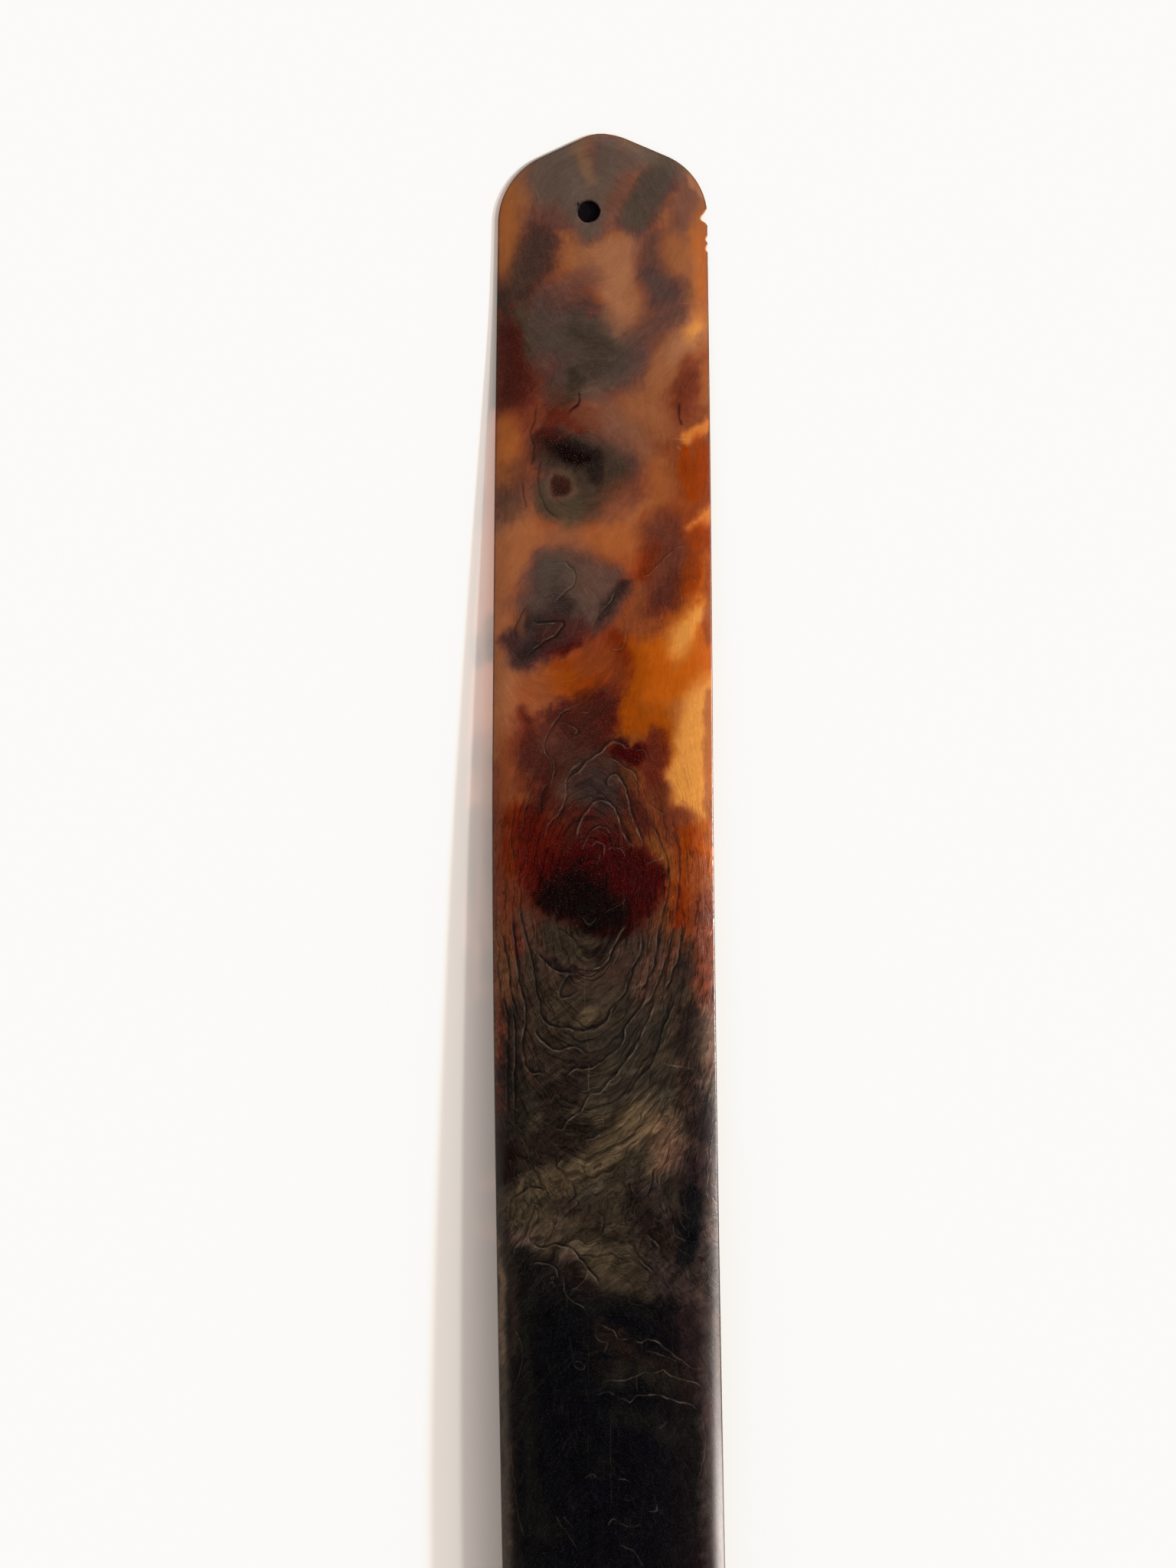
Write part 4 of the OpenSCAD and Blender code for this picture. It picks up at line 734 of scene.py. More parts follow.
def pigment(x, s):
    """Linear colour of the horn at x, s."""
    wx = x + 0.42 * cloud(x / 2.6, s / 3.4, 5, 4) + 0.12 * noise(x / 0.6, s / 0.9, 9)
    ws = s + 0.55 * cloud(x / 3.0, s / 2.8, 11, 4) + 0.16 * noise(x / 0.5, s / 0.8, 13)
    ragged = np.interp(s, [0, 40, 100, 115], [0.35, 0.45, 0.6, 1.0])
    feather = 0.55 * ragged * noise(x / 1.5, s / 2.1, 19) + 0.38 * (0.4 + 0.6 * ragged) * noise(x / 0.7, s / 1.0, 23) + 0.22 * noise(x / 0.33, s / 0.42, 29)
    shade = {k: to_linear(v) for k, v in HUES.items()}
    g = np.array([(r[0], *shade[r[1]], *shade[r[2]], *shade[r[3]]) for r in GROUND])
    cols = [np.interp(ws, g[:, 0], g[:, i]) for i in range(1, 10)]
    u = np.clip((wx - middle(s)) / 14.5, -1, 1)
    power = np.interp(s, [90, 112, 150], [1.3, 3.0, 3.6])
    lo, hi = (np.clip(-u, 0, 1) ** power)[:, None], (np.clip(u, 0, 1) ** power)[:, None]
    c = (np.stack(cols[3:6], 1) * (1 - lo - hi) + np.stack(cols[0:3], 1) * lo + np.stack(cols[6:9], 1) * hi)
    blur = np.interp(s, [0, 40, 95, 108], [1.2, 1.3, 1.3, 1.0])
    for name, strength, soft, pts in PIGMENT:
        pts, rgb = np.array(pts, float), shade[name]
        wide = soft * (SOFTER if soft > 0.75 else 1.15)
        reach = pts[:, 2].max() + wide + 2.5
        near = np.nonzero((s > pts[:, 1].min() - reach) & (s < pts[:, 1].max() + reach))[0]
        if not len(near):
            continue
        wide = wide * (blur[near] if soft > 0.75 else 1)
        d = brush(wx[near], ws[near], pts) + wide * (0.62 * feather[near] - 0.18)
        w = (strength * (1 - ramp(-1, 1, d / (0.62 * wide))))[:, None]
        # thin and thick pigment mix by their density more than by their light, and where a dark
        # patch thins out over amber it first turns reddish, or purple-brown if the patch is grey
        under_it = c[near]
        amber = np.clip(under_it[:, :1] / (under_it[:, 1:2] + 1e-4) - 1.6, 0, 1)
        darker = np.clip((under_it[:, :1] - rgb[0]) / (under_it[:, :1] + 0.02) * 1.5, 0, 1)
        fringe = 4 * w * (1 - w) * amber * darker
        cool = min(max((rgb[2] / rgb[0] - 0.25) / 0.3, 0), 1)
        c[near] = (np.exp(np.log(under_it + 0.002) * (1 - w) + np.log(rgb + 0.002) * w) - 0.002) * (1 - fringe * (np.array([0.04, 0.16, 0.10]) * (1 - cool) + np.array([0.10, 0.24, 0.02]) * cool))
    # painted light: from 40 to 94 mm the colour is lifted by up to a quarter left of the middle, and lower down only at
    # the left border, against the shade on the left slope of the crown
    lit = 0.90 + 0.24 * ramp(40, 50, s) * ramp(94, 80, s) * ramp(10, 3, x + 13 * ramp(60, 74, s))
    return np.clip(np.asarray(lit)[..., None] * c - np.array([0.0032, 0.0026, 0.0020]), 0.0004, 1)


def veins(x, s):
    """Four layers of signed distance to the growth lines, with the paleness and darkness of each."""
    wx = x + 0.16 * cloud(x / 1.3, s / 1.6, 31, 3)
    ws = s + 0.16 * cloud(x / 1.2, s / 1.5, 37, 3)
    n = len(x)
    dist, pale, dark = np.full((n, 4), 9.0), np.zeros((n, 4)), np.zeros((n, 4))
    placed = [[] for _ in range(4)]
    for light, groove, width, pts in VEINS:
        line = smooth_line(pts)
        gaps = [min((np.hypot(*(line[:, None] - o[None]).transpose(2, 0, 1)).min() for o in layer), default=99) for layer in placed]
        k = int(np.argmax(gaps))
        placed[k].append(line)
        near = np.nonzero((s > line[:, 1].min() - 3) & (s < line[:, 1].max() + 3))[0]
        px, ps = wx[near], ws[near]
        best, sign, along = np.full(len(near), 9.0), np.ones(len(near)), np.zeros(len(near))
        for i in range(len(line) - 1):
            a, b = line[i], line[i + 1]
            dx, ds = b - a
            q = dx * dx + ds * ds
            if q < 1e-9:
                continue
            t = np.clip(((px - a[0]) * dx + (ps - a[1]) * ds) / q, 0, 1)
            ex, es = px - a[0] - t * dx, ps - a[1] - t * ds
            d = np.hypot(ex, es)
            closer = d < best
            best = np.where(closer, d, best)
            sign = np.where(closer, np.sign(dx * es - ds * ex + 1e-12), sign)
            along = np.where(closer, (i + t) / (len(line) - 1), along)
        taper = ramp(0, 0.12, along) * ramp(1, 0.88, along)
        wear = 0.25 + 0.75 * np.clip(0.6 + 1.2 * noise(px / 1.3, ps / 1.3, 41), 0, 1.3)
        wear *= np.interp(ps, [0, 155, 165], [1, 1, 0.7])
        take = best < dist[near, k].__abs__()
        sel = near[take]
        fade = (1 - ramp(0.7, 1.1, best)) * taper * wear
        dist[sel, k] = (sign * best * 0.17 / width)[take]
        pale[sel, k] = (light * fade)[take]
        dark[sel, k] = (np.minimum(1.3 * groove + 0.1 * (groove > 0.15), 1) * (0.6 + 0.4 * fade) * (fade > 0) * (1 - ramp(0.7, 1.1, best)) * taper)[take]
    return dist, pale, dark


# ---------------------------------------------------------------------------------------------
# 4. The blade as one closed, dense mesh.
# ---------------------------------------------------------------------------------------------
def chip_depth(s):
    """The three small bites out of the thin right edge."""
    d = np.interp(s, [10.15, 10.35, 10.75, 11.1, 11.45, 11.7, 11.95, 12.1, 12.35, 12.5],
                  [0, 0.10, 0.38, 0.70, 0.84, 0.86, 0.52, 0.22, 0.06, 0])
    d = d + np.interp(s, [13.75, 14.0, 14.3, 14.55, 14.8], [0, 0.08, 0.18, 0.14, 0])
    d = d + np.interp(s, [14.9, 15.25, 15.6, 15.85, 16.1], [0, 0.08, 0.20, 0.15, 0])
    return d + 0.04 * np.clip(noise(s / 0.35, 3.3 + 0 * s, 77), 0, 1) * ((s > 12.4) & (s < 18))


stations = np.unique(np.concatenate([
    [0, 0.05, 0.12, 0.2, 0.3, 0.42, 0.56, 0.72, 0.9], np.arange(1.1, 9.9, 0.26), np.arange(9.9, 16.6, 0.1),
    np.arange(16.8, 194, 0.36), np.arange(194.4, LENGTH - HEEL, 0.8),
    LENGTH - HEEL + HEEL * np.sin(np.radians(np.concatenate([np.arange(0, 80, 3.0), np.arange(80, 89.6, 1.2), [89.7, 90]]))),
]))
TOP_N, UNDER_N, SIDE_N = 92, 24, 3
LIP = 0.12


def spread(n):
    u = np.linspace(-1, 1, n + 1)
    return 0.6 * np.sin(u * math.pi / 2) + 0.4 * u


S = stations
L, R = left(S), right(S)
Rc = R - chip_depth(S)
rows_x, rows_z = [], []
M, W = (L + Rc) / 2, (Rc - L) / 2 - LIP
for k in spread(UNDER_N):                                     # under face, left to right
    x = M + W * k
    rows_x.append(x)
    rows_z.append(base(x, S))
zt, zb = top(Rc - LIP, S), base(Rc - LIP, S)
for a in np.linspace(0, math.pi, SIDE_N + 2)[1:-1]:           # right side, going up
    rows_x.append(Rc - LIP + LIP * np.sin(a) ** 0.6)
    rows_z.append((zt + zb) / 2 - (zt - zb) / 2 * np.cos(a))
for k in spread(TOP_N)[::-1]:                                 # upper face, right to left
    x = M + W * k
    rows_x.append(x)
    rows_z.append(top(x, S))
zt, zb = top(L + LIP, S), base(L + LIP, S)
for a in np.linspace(math.pi, 0, SIDE_N + 2)[1:-1]:           # left side, going down
    rows_x.append(L + LIP - LIP * np.sin(a) ** 0.6)
    rows_z.append((zt + zb) / 2 - (zt - zb) / 2 * np.cos(a))
X, Z = np.stack(rows_x, 1), np.stack(rows_z, 1)               # rings by columns
N_S, N_C = X.shape
SS = np.repeat(S[:, None], N_C, 1)
is_top = np.zeros(N_C, bool)
is_top[UNDER_N + 1 + SIDE_N:UNDER_N + 1 + SIDE_N + TOP_N + 1] = True

# hand-polished unevenness of the upper face, dying out towards the edges
inset = np.clip(np.minimum(X - L[:, None], R[:, None] - X) / 3, 0, 1) * np.clip(SS / 6, 0, 1)
wave = 0.035 * cloud(X / 9, SS / 16, 51, 3) + 0.008 * noise(X / 1.6, SS / 3.5, 57)
Z = Z + np.where(is_top[None], wave * inset, 0)

# the frame's x: the footprint is centred on the CAD box
fine = np.linspace(0, LENGTH, 3001)
x_mid = (left(fine).min() + right(fine).max()) / 2
verts = np.stack([(X - x_mid) * MM, (LENGTH / 2 - SS) * MM, Z * MM], 2).reshape(-1, 3)
i, j = np.meshgrid(np.arange(N_S - 1), np.arange(N_C), indexing="ij")
a = i * N_C + j
b = i * N_C + (j + 1) % N_C
quads = np.stack([a, a + N_C, b + N_C, b], 2).reshape(-1, 4)
mesh = bpy.data.meshes.new("horn_blade")
mesh.from_pydata(verts.tolist(), [], quads.tolist() + [list(range(N_C)), list(range(N_S * N_C - 1, (N_S - 1) * N_C - 1, -1))])
mesh.validate()
blade = bpy.data.objects.new("horn_blade", mesh)
scene.collection.objects.link(blade)
bm = bmesh.new()
bm.from_mesh(mesh)
bmesh.ops.recalc_face_normals(bm, faces=bm.faces)
bm.to_mesh(mesh)
bm.free()

# The hanging hole: drilled by hand, a little out of round, its rim worn on both faces.
hole_at = Vector(((HOLE_X - x_mid) * MM, (LENGTH / 2 - HOLE_S) * MM, 0))


def hole_radius(a):
    return HOLE_R * (1 + 0.03 * np.sin(2 * a + 0.7) + 0.028 * np.sin(3 * a + 2.1) + 0.02 * np.sin(6 * a + 0.4) + 0.014 * np.sin(11 * a))


def lathe(name, rings, n=72):
    """Closed solid around the hole's axis from (height, factor on the hole's radius, extra mm)."""
    ang = np.arange(n) * 2 * math.pi / n
    v, f = [], []
    for z, factor, extra in rings:
        r = hole_radius(ang) * factor + extra
        v += [(hole_at.x + q * math.cos(t) * MM, hole_at.y + q * math.sin(t) * MM, z * MM) for q, t in zip(r, ang)]
    for k in range(len(rings) - 1):
        for m in range(n):
            f.append([k * n + m, k * n + (m + 1) % n, (k + 1) * n + (m + 1) % n, (k + 1) * n + m])
    f.append(list(range(n))[::-1])
    f.append([(len(rings) - 1) * n + m for m in range(n)])
    me = bpy.data.meshes.new(name)
    me.from_pydata(v, [], f)
    me.validate()
    ob = bpy.data.objects.new(name, me)
    scene.collection.objects.link(ob)
    return ob


hole_top = float(top(np.array([HOLE_X]), np.array([HOLE_S]))[0])
cutter = lathe("cutter", [(-0.6, 1, 0.10), (-0.05, 1, 0.10), (0.12, 1, 0), (hole_top - 0.28, 1, 0), (hole_top - 0.12, 1, 0.03),
                          (hole_top + 0.0, 1, 0.12), (hole_top + 0.12, 1, 0.30), (hole_top + 0.6, 1, 0.5)])
pit = bpy.data.meshes.new("pit")
pb = bmesh.new()
bmesh.ops.create_icosphere(pb, subdivisions=3, radius=0.24 * MM)
pb.to_mesh(pit)
pb.free()
pit_ob = bpy.data.objects.new("pit", pit)
pit_ob.location = (hole_at.x - 1.5 * MM, hole_at.y + 1.0 * MM, (float(top(np.array([HOLE_X - 1.5]), np.array([HOLE_S - 1.0]))[0]) + 0.06) * MM)
scene.collection.objects.link(pit_ob)
for tool in (cutter, pit_ob):
    m = blade.modifiers.new("cut", "BOOLEAN")
    m.operation, m.object, m.solver = "DIFFERENCE", tool, "EXACT"
bpy.context.view_layer.update()
dg = bpy.context.evaluated_depsgraph_get()
cut = bpy.data.meshes.new_from_object(blade.evaluated_get(dg))
blade.modifiers.clear()
blade.data = cut
for tool in (cutter, pit_ob):
    bpy.data.objects.remove(tool, do_unlink=True)
mesh = blade.data
mesh.name = "horn_blade"

# paint the finished mesh
n = len(mesh.vertices)
co = np.empty(n * 3)
mesh.vertices.foreach_get("co", co)
co = co.reshape(-1, 3)
px, ps, pz = co[:, 0] / MM + x_mid, LENGTH / 2 - co[:, 1] / MM, co[:, 2] / MM
Lp, Rp = left(ps), right(ps)
mid_z = (top(np.clip(px, Lp + LIP, Rp - LIP), ps) + base(np.clip(px, Lp + LIP, Rp - LIP), ps)) / 2
facing_up = pz > mid_z
colour = pigment(px, ps)
# painted shade: the face is darkened within 0.2 mm of the outline, for the dark line that the rounding of the edge
# shows
edge = np.minimum(px - Lp, Rp - px)
edge = np.minimum(edge, np.where(ps < 9, np.maximum(tip_gap(px, ps), 0), 9))
rim = 1 - ramp(0.04, 0.20, edge)
colour *= (1 - 0.62 * rim * ramp(1.5, 4, ps + 3))[:, None]
hole_d = np.hypot(px - HOLE_X, ps - HOLE_S)
dirty = 1 - ramp(HOLE_R + 0.02, HOLE_R + 0.22, hole_d)
colour = colour * (1 - 0.93 * dirty)[:, None] + np.array([0.010, 0.005, 0.007]) * (0.93 * dirty)[:, None]
pit_d = np.hypot(px - HOLE_X + 1.5, ps - HOLE_S + 1.0)
spot = 1 - ramp(0.16, 0.36, pit_d)
colour = colour * (1 - 0.8 * spot)[:, None] + np.array([0.012, 0.008, 0.007]) * (0.8 * spot)[:, None]
# painted shade: both long edges are darkened again within 0.3 mm, for the dark outline of the rounded edge and against
# the light that glows through it
rim = np.maximum(ramp(0.30, 0.06, Rp - px), ramp(0.30, 0.06, px - left(ps))) * (ps > 1)
colour = colour * (1 - 0.55 * rim)[:, None]
# fresh chips show pale, dry horn
chipped = (chip_depth(ps) > 0.1) & (Rp - px > chip_depth(ps) - 0.06) & (Rp - px < chip_depth(ps) + 0.2) & ~(pz > mid_z + 0.3)
colour = np.where(chipped[:, None], colour * 0.55 + 0.45 * to_linear((165, 125, 85)), colour)
light = colour @ np.array([0.3, 0.55, 0.15])
clear = ramp(0.015, 0.16, light)                              # how far light gets into it
dist, pale, dark = veins(px, ps)
pale *= facing_up[:, None]
dark *= facing_up[:, None]
grain = flow(px, ps)
wood = np.stack([grain * 9 + 0.25 * cloud(px / 3, ps / 4, 61, 3), ps * 0.25 + px * 0.12, px * 0], 1)
top_face = ramp(-0.1, 0.3, pz - mid_z)


def attribute(name, kind, values):
    at = mesh.attributes.new(name, kind, "POINT")
    key = {"FLOAT_COLOR": "color", "FLOAT_VECTOR": "vector", "FLOAT": "value"}[kind]
    at.data.foreach_set(key, np.ascontiguousarray(values, dtype=np.float32).ravel())


attribute("pigment", "FLOAT_COLOR", np.hstack([colour, clear[:, None]]))
attribute("vein_at", "FLOAT_COLOR", dist)
attribute("vein_pale", "FLOAT_COLOR", pale)
attribute("vein_dark", "FLOAT_COLOR", dark)
attribute("grain", "FLOAT_VECTOR", wood)
attribute("upper", "FLOAT", top_face)
# the thick, rounded part of the right border is scratched
attribute("border", "FLOAT", ramp(2.8, 0.5, Rp - px) * ramp(150, 195, ps))
# how strongly three kinds of detail show down the blade: layers of growth, marbling, wrinkles
stops = [0, 20, 60, 84, 98, 112, 130, 150, 160, 230, 300]
attribute("detail", "FLOAT_VECTOR", np.stack([top_face * np.interp(ps, stops, v) for v in (
    [0, 0.10, 0.15, 0.30, 1.00, 1.00, 1.00, 0.8, 0.55, 0.5, 0.3],
    [0, 0.10, 0.15, 0.15, 0.25, 0.70, 1.00, 1.0, 0.60, 0.6, 0.3],
    [0, 0.15, 0.30, 0.35, 0.30, 0.45, 0.80, 1.0, 0.80, 0.6, 0.3])], 1))
for poly in mesh.polygons:
    poly.use_smooth = True
mesh.set_sharp_from_angle(angle=math.radians(50))


# ---------------------------------------------------------------------------------------------
# 5. Materials.
# ---------------------------------------------------------------------------------------------
class Net:
    """Short hand for building a node tree."""

    def __init__(self, tree):
        self.t = tree

    def node(self, kind, **values):
        nd = self.t.nodes.new(kind)
        for k, v in values.items():
            setattr(nd, k, v)
        return nd

    def put(self, nd, key, v):
        if isinstance(v, bpy.types.NodeSocket):
            self.t.links.new(v, nd.inputs[key])
        elif v is not None:
            nd.inputs[key].default_value = v

    def math(self, op, a, b=None, c=None, clamp=False):
        nd = self.node("ShaderNodeMath", operation=op, use_clamp=clamp)
        for k, v in enumerate((a, b, c)):
            self.put(nd, k, v)
        return nd.outputs[0]

    def attr(self, name):
        return self.node("ShaderNodeAttribute", attribute_name=name)

    def mix(self, fac, a, b, blend="MIX"):
        nd = self.node("ShaderNodeMix", data_type="RGBA", blend_type=blend)
        self.put(nd, 0, fac)
        self.put(nd, 6, a)
        self.put(nd, 7, b)
        return nd.outputs[2]

    def noise(self, vec, scale, detail=3, rough=0.5, distort=0.0):
        nd = self.node("ShaderNodeTexNoise")
        self.put(nd, "Vector", vec)
        for k, v in (("Scale", scale), ("Detail", detail), ("Roughness", rough), ("Distortion", distort)):
            nd.inputs[k].default_value = v
        return nd.outputs[0]

    def mapping(self, vec, scale=(1, 1, 1), rot=(0, 0, 0), loc=(0, 0, 0)):
        nd = self.node("ShaderNodeMapping")
        self.put(nd, "Vector", vec)
        nd.inputs["Scale"].default_value = scale
        nd.inputs["Rotation"].default_value = rot
        nd.inputs["Location"].default_value = loc
        return nd.outputs[0]

    def span(self, v, a, b, lo=0.0, hi=1.0, smooth=False):
        nd = self.node("ShaderNodeMapRange", interpolation_type="SMOOTHSTEP" if smooth else "LINEAR", clamp=True)
        self.put(nd, "Value", v)
        for k, q in (("From Min", a), ("From Max", b), ("To Min", lo), ("To Max", hi)):
            self.put(nd, k, q)
        return nd.outputs[0]


def horn_material():
    mat = bpy.data.materials.new("mottled_horn")
    mat.use_nodes = True
    t = mat.node_tree
    t.nodes.clear()
    n = Net(t)
    out = n.node("ShaderNodeOutputMaterial")
    bsdf = n.node("ShaderNodeBsdfPrincipled")
    pig = n.attr("pigment")
    # light that comes through the clear horn warms the shadow
    through = n.node("ShaderNodeBsdfTransparent")
    through.inputs[0].default_value = (0.76, 0.46, 0.36, 1)
    both = n.node("ShaderNodeMixShader")
    path = n.node("ShaderNodeLightPath")
    n.put(both, 0, n.math("MULTIPLY", path.outputs["Is Shadow Ray"], n.span(pig.outputs["Alpha"], 0.0, 0.12, 0.0, 0.8)))
    n.put(both, 1, bsdf.outputs[0])
    n.put(both, 2, through.outputs[0])
    t.links.new(both.outputs[0], out.inputs[0])
    where = n.node("ShaderNodeTexCoord").outputs["Object"]
    mm = n.mapping(where, scale=(1000, 1000, 1000))
    flow_v = n.attr("grain").outputs["Vector"]
    upper = n.attr("upper").outputs["Fac"]
    clear = pig.outputs["Alpha"]

    # fibres that follow the growth, cloudiness and a fine tooth
    fibre = n.noise(n.mapping(flow_v, scale=(3.2, 1.0, 1)), 1.0, 4, 0.6, 0.4)
    fine = n.noise(n.mapping(flow_v, scale=(11.0, 2.6, 1)), 1.0, 3, 0.6, 0.8)
    murk = n.noise(mm, 0.55, 5, 0.62, 0.6)
    tooth = n.noise(mm, 5.0, 3, 0.6)
    wisps = n.noise(n.mapping(mm, scale=(1.5, 0.55, 1), rot=(0, 0, 0.25)), 1.0, 6, 0.66, 1.6)
    how = n.node("ShaderNodeSeparateXYZ")
    t.links.new(n.attr("detail").outputs["Vector"], how.inputs[0])
    lines, marbled, wrinkled = how.outputs
    # layers of growth: thin dark seams that follow the grain, with a paler lip
    seam = n.math("SUBTRACT", n.noise(n.mapping(flow_v, scale=(1.7, 0.42, 1)), 1.0, 2, 0.5, 0.3), 0.5)
    seam_b = n.math("SUBTRACT", n.noise(n.mapping(flow_v, scale=(2.9, 0.6, 1), loc=(7.3, 2.1, 0)), 1.0, 2, 0.5, 0.3), 0.5)
    seam_dark = n.math("MAXIMUM", n.span(n.math("ABSOLUTE", seam), 0.0, 0.024, 1, 0, True),
                       n.math("MULTIPLY", n.span(n.math("ABSOLUTE", seam_b), 0.0, 0.022, 1, 0, True), 0.8))
    seam_pale = n.span(n.math("ABSOLUTE", n.math("SUBTRACT", seam, 0.036)), 0.0, 0.016, 1, 0, True)
    seam_dark = n.math("MULTIPLY", seam_dark, lines)
    seam_pale = n.math("MULTIPLY", seam_pale, lines)
    # the edges of the layers where the blade was cut down through them
    sway = n.noise(n.mapping(flow_v, scale=(0.5, 0.55, 1), loc=(3.1, 9.2, 0)), 1.0, 3, 0.55)
    sep_f = n.node("ShaderNodeSeparateXYZ")
    t.links.new(flow_v, sep_f.inputs[0])
    beat = n.math("SINE", n.math("ADD", n.math("MULTIPLY", sep_f.outputs[0], 2.5), n.math("MULTIPLY", sway, 9.0)))
    bare = n.span(n.noise(n.mapping(flow_v, scale=(0.9, 0.7, 1), loc=(1.7, 4.4, 0)), 1.0, 2, 0.5), 0.42, 0.58, 0, 1, True)
    lam = n.math("MULTIPLY", n.span(n.math("ABSOLUTE", beat), 0.0, 0.50, 1, 0, True), n.math("MULTIPLY", bare, lines))
    lip = n.math("MULTIPLY", n.span(n.math("ABSOLUTE", n.math("SUBTRACT", beat, 0.62)), 0.0, 0.16, 1, 0, True), n.math("MULTIPLY", bare, lines))
    seam_dark = n.math("MAXIMUM", seam_dark, lam)
    seam_pale = n.math("MAXIMUM", seam_pale, n.math("MULTIPLY", lip, 0.5))
    # wrinkles of the old scale, in patches and in no one direction
    fold = n.math("SUBTRACT", n.noise(n.mapping(n.mapping(mm, rot=(0, 0, -0.6)), scale=(0.26, 0.5, 1)), 1.0, 4, 0.55, 1.3), 0.5)
    patch = n.math("MULTIPLY", n.span(n.noise(mm, 0.16, 2, 0.5), 0.42, 0.60, 0, 1, True), wrinkled)
    fold_dark = n.math("MULTIPLY", n.span(n.math("ABSOLUTE", fold), 0.0, 0.020, 1, 0, True), patch)
    fold_pale = n.math("MULTIPLY", n.span(n.math("ABSOLUTE", n.math("SUBTRACT", fold, 0.026)), 0.0, 0.011, 1, 0, True), patch)
    # marbling drawn out from lower left to upper right
    swirl = n.noise(n.mapping(n.mapping(mm, rot=(0, 0, -0.65)), scale=(0.20, 0.62, 1)), 1.0, 8, 0.68, 1.5)
    lit = n.math("ADD", n.math("MULTIPLY", n.math("SUBTRACT", fibre, 0.5), 0.75),
                 n.math("MULTIPLY", n.math("SUBTRACT", fine, 0.5), 0.50))
    lit = n.math("ADD", lit, n.math("MULTIPLY", n.math("SUBTRACT", murk, 0.5), 0.75))
    lit = n.math("ADD", lit, n.math("MULTIPLY", n.math("SUBTRACT", tooth, 0.5), 0.55))
    lit = n.math("ADD", lit, n.math("MULTIPLY", n.math("MULTIPLY", n.math("SUBTRACT", swirl, 0.49), 4.2), marbled))
    lit = n.math("SUBTRACT", lit, n.math("MULTIPLY", n.math("MAXIMUM", seam_dark, fold_dark), 1.15))
    lit = n.math("ADD", lit, n.math("MULTIPLY", n.math("MAXIMUM", seam_pale, fold_pale), 0.40))
    # the variation is gentler in clear amber and stronger in the dense parts
    amount = n.span(clear, 0.0, 0.8, 1.5, 0.62)
    gain = n.math("POWER", 2.0, n.math("MULTIPLY", lit, amount))
    col = n.mix(1.0, pig.outputs["Color"], n.node("ShaderNodeCombineXYZ").outputs[0], "MULTIPLY")
    t.nodes.remove(col.node)
    scale = n.node("ShaderNodeVectorMath", operation="SCALE")
    t.links.new(pig.outputs["Color"], scale.inputs[0])
    t.links.new(gain, scale.inputs["Scale"])
    col = scale.outputs[0]
    # fine pale specks in the upper, greyer clouds
    dots = n.noise(mm, 7.5, 2, 0.7)
    grey = n.math("MULTIPLY", n.math("MULTIPLY", n.span(dots, 0.58, 0.72, 0, 1, True), n.span(clear, 0.03, 0.5, 1, 0.1)), n.span(marbled, 0.1, 0.6, 0.40, 0.12))
    col = n.mix(grey, col, (0.17, 0.14, 0.105, 1))
    # olive-grey wisps in the dark parts, partly the horn's own fibres and partly a painted sheen of its satin surface
    dense = n.span(clear, 0.02, 0.35, 1.0, 0.0)
    painted_sheen_wisps = n.math("MULTIPLY", n.math("MULTIPLY", n.span(wisps, 0.50, 0.78, 0, 1, True), dense), n.span(marbled, 0.3, 0.9, 0.06, 0.30))
    col = n.mix(painted_sheen_wisps, col, (0.036, 0.034, 0.024, 1))
    trace = n.math("MULTIPLY", n.math("MAXIMUM", n.math("MULTIPLY", seam_pale, 0.8), fold_pale), n.math("MULTIPLY", n.math("MULTIPLY", dense, n.span(marbled, 0.4, 0.9)), 0.26))
    col = n.mix(trace, col, (0.050, 0.046, 0.036, 1))
    # growth lines, a pale ridge with a dark groove beside it
    at, pl, dk = n.attr("vein_at"), n.attr("vein_pale"), n.attr("vein_dark")
    parts = []
    for a in (at, pl, dk):
        sep = n.node("ShaderNodeSeparateColor")
        t.links.new(a.outputs["Color"], sep.inputs[0])
        parts.append([sep.outputs[0], sep.outputs[1], sep.outputs[2], a.outputs["Alpha"]])
    jitter = n.math("MULTIPLY", n.math("SUBTRACT", n.noise(mm, 1.6, 3, 0.6), 0.5), 0.16)
    ridge = groove = None
    for d, l, k in zip(*parts):
        d = n.math("ADD", d, jitter)
        e = n.math("MULTIPLY", n.math("SUBTRACT", d, 0.05), 1 / 0.085)
        r = n.math("MULTIPLY", n.math("EXPONENT", n.math("MULTIPLY", n.math("MULTIPLY", e, e), -1.0)), l)
        e = n.math("MULTIPLY", n.math("ADD", d, 0.16), 1 / 0.20)
        g = n.math("MULTIPLY", n.math("EXPONENT", n.math("MULTIPLY", n.math("MULTIPLY", e, e), -1.0)), k)
        ridge = r if ridge is None else n.math("MAXIMUM", ridge, r)
        groove = g if groove is None else n.math("MAXIMUM", groove, g)
    col = n.mix(n.math("MULTIPLY", groove, 1.05, clamp=True), col, n.mix(1.0, col, (0.10, 0.08, 0.08, 1), "MULTIPLY"))
    ridge = n.math("MULTIPLY", ridge, n.span(n.noise(mm, 1.1, 4, 0.65), 0.34, 0.58, 0.35, 1.25, True))
    pale = n.mix(0.50, n.mix(1.0, col, (2.6, 2.5, 2.4, 1), "MULTIPLY"), (0.140, 0.108, 0.080, 1))
    col = n.mix(n.math("MULTIPLY", ridge, 0.85, clamp=True), col, pale)
    t.links.new(col, bsdf.inputs["Base Color"])

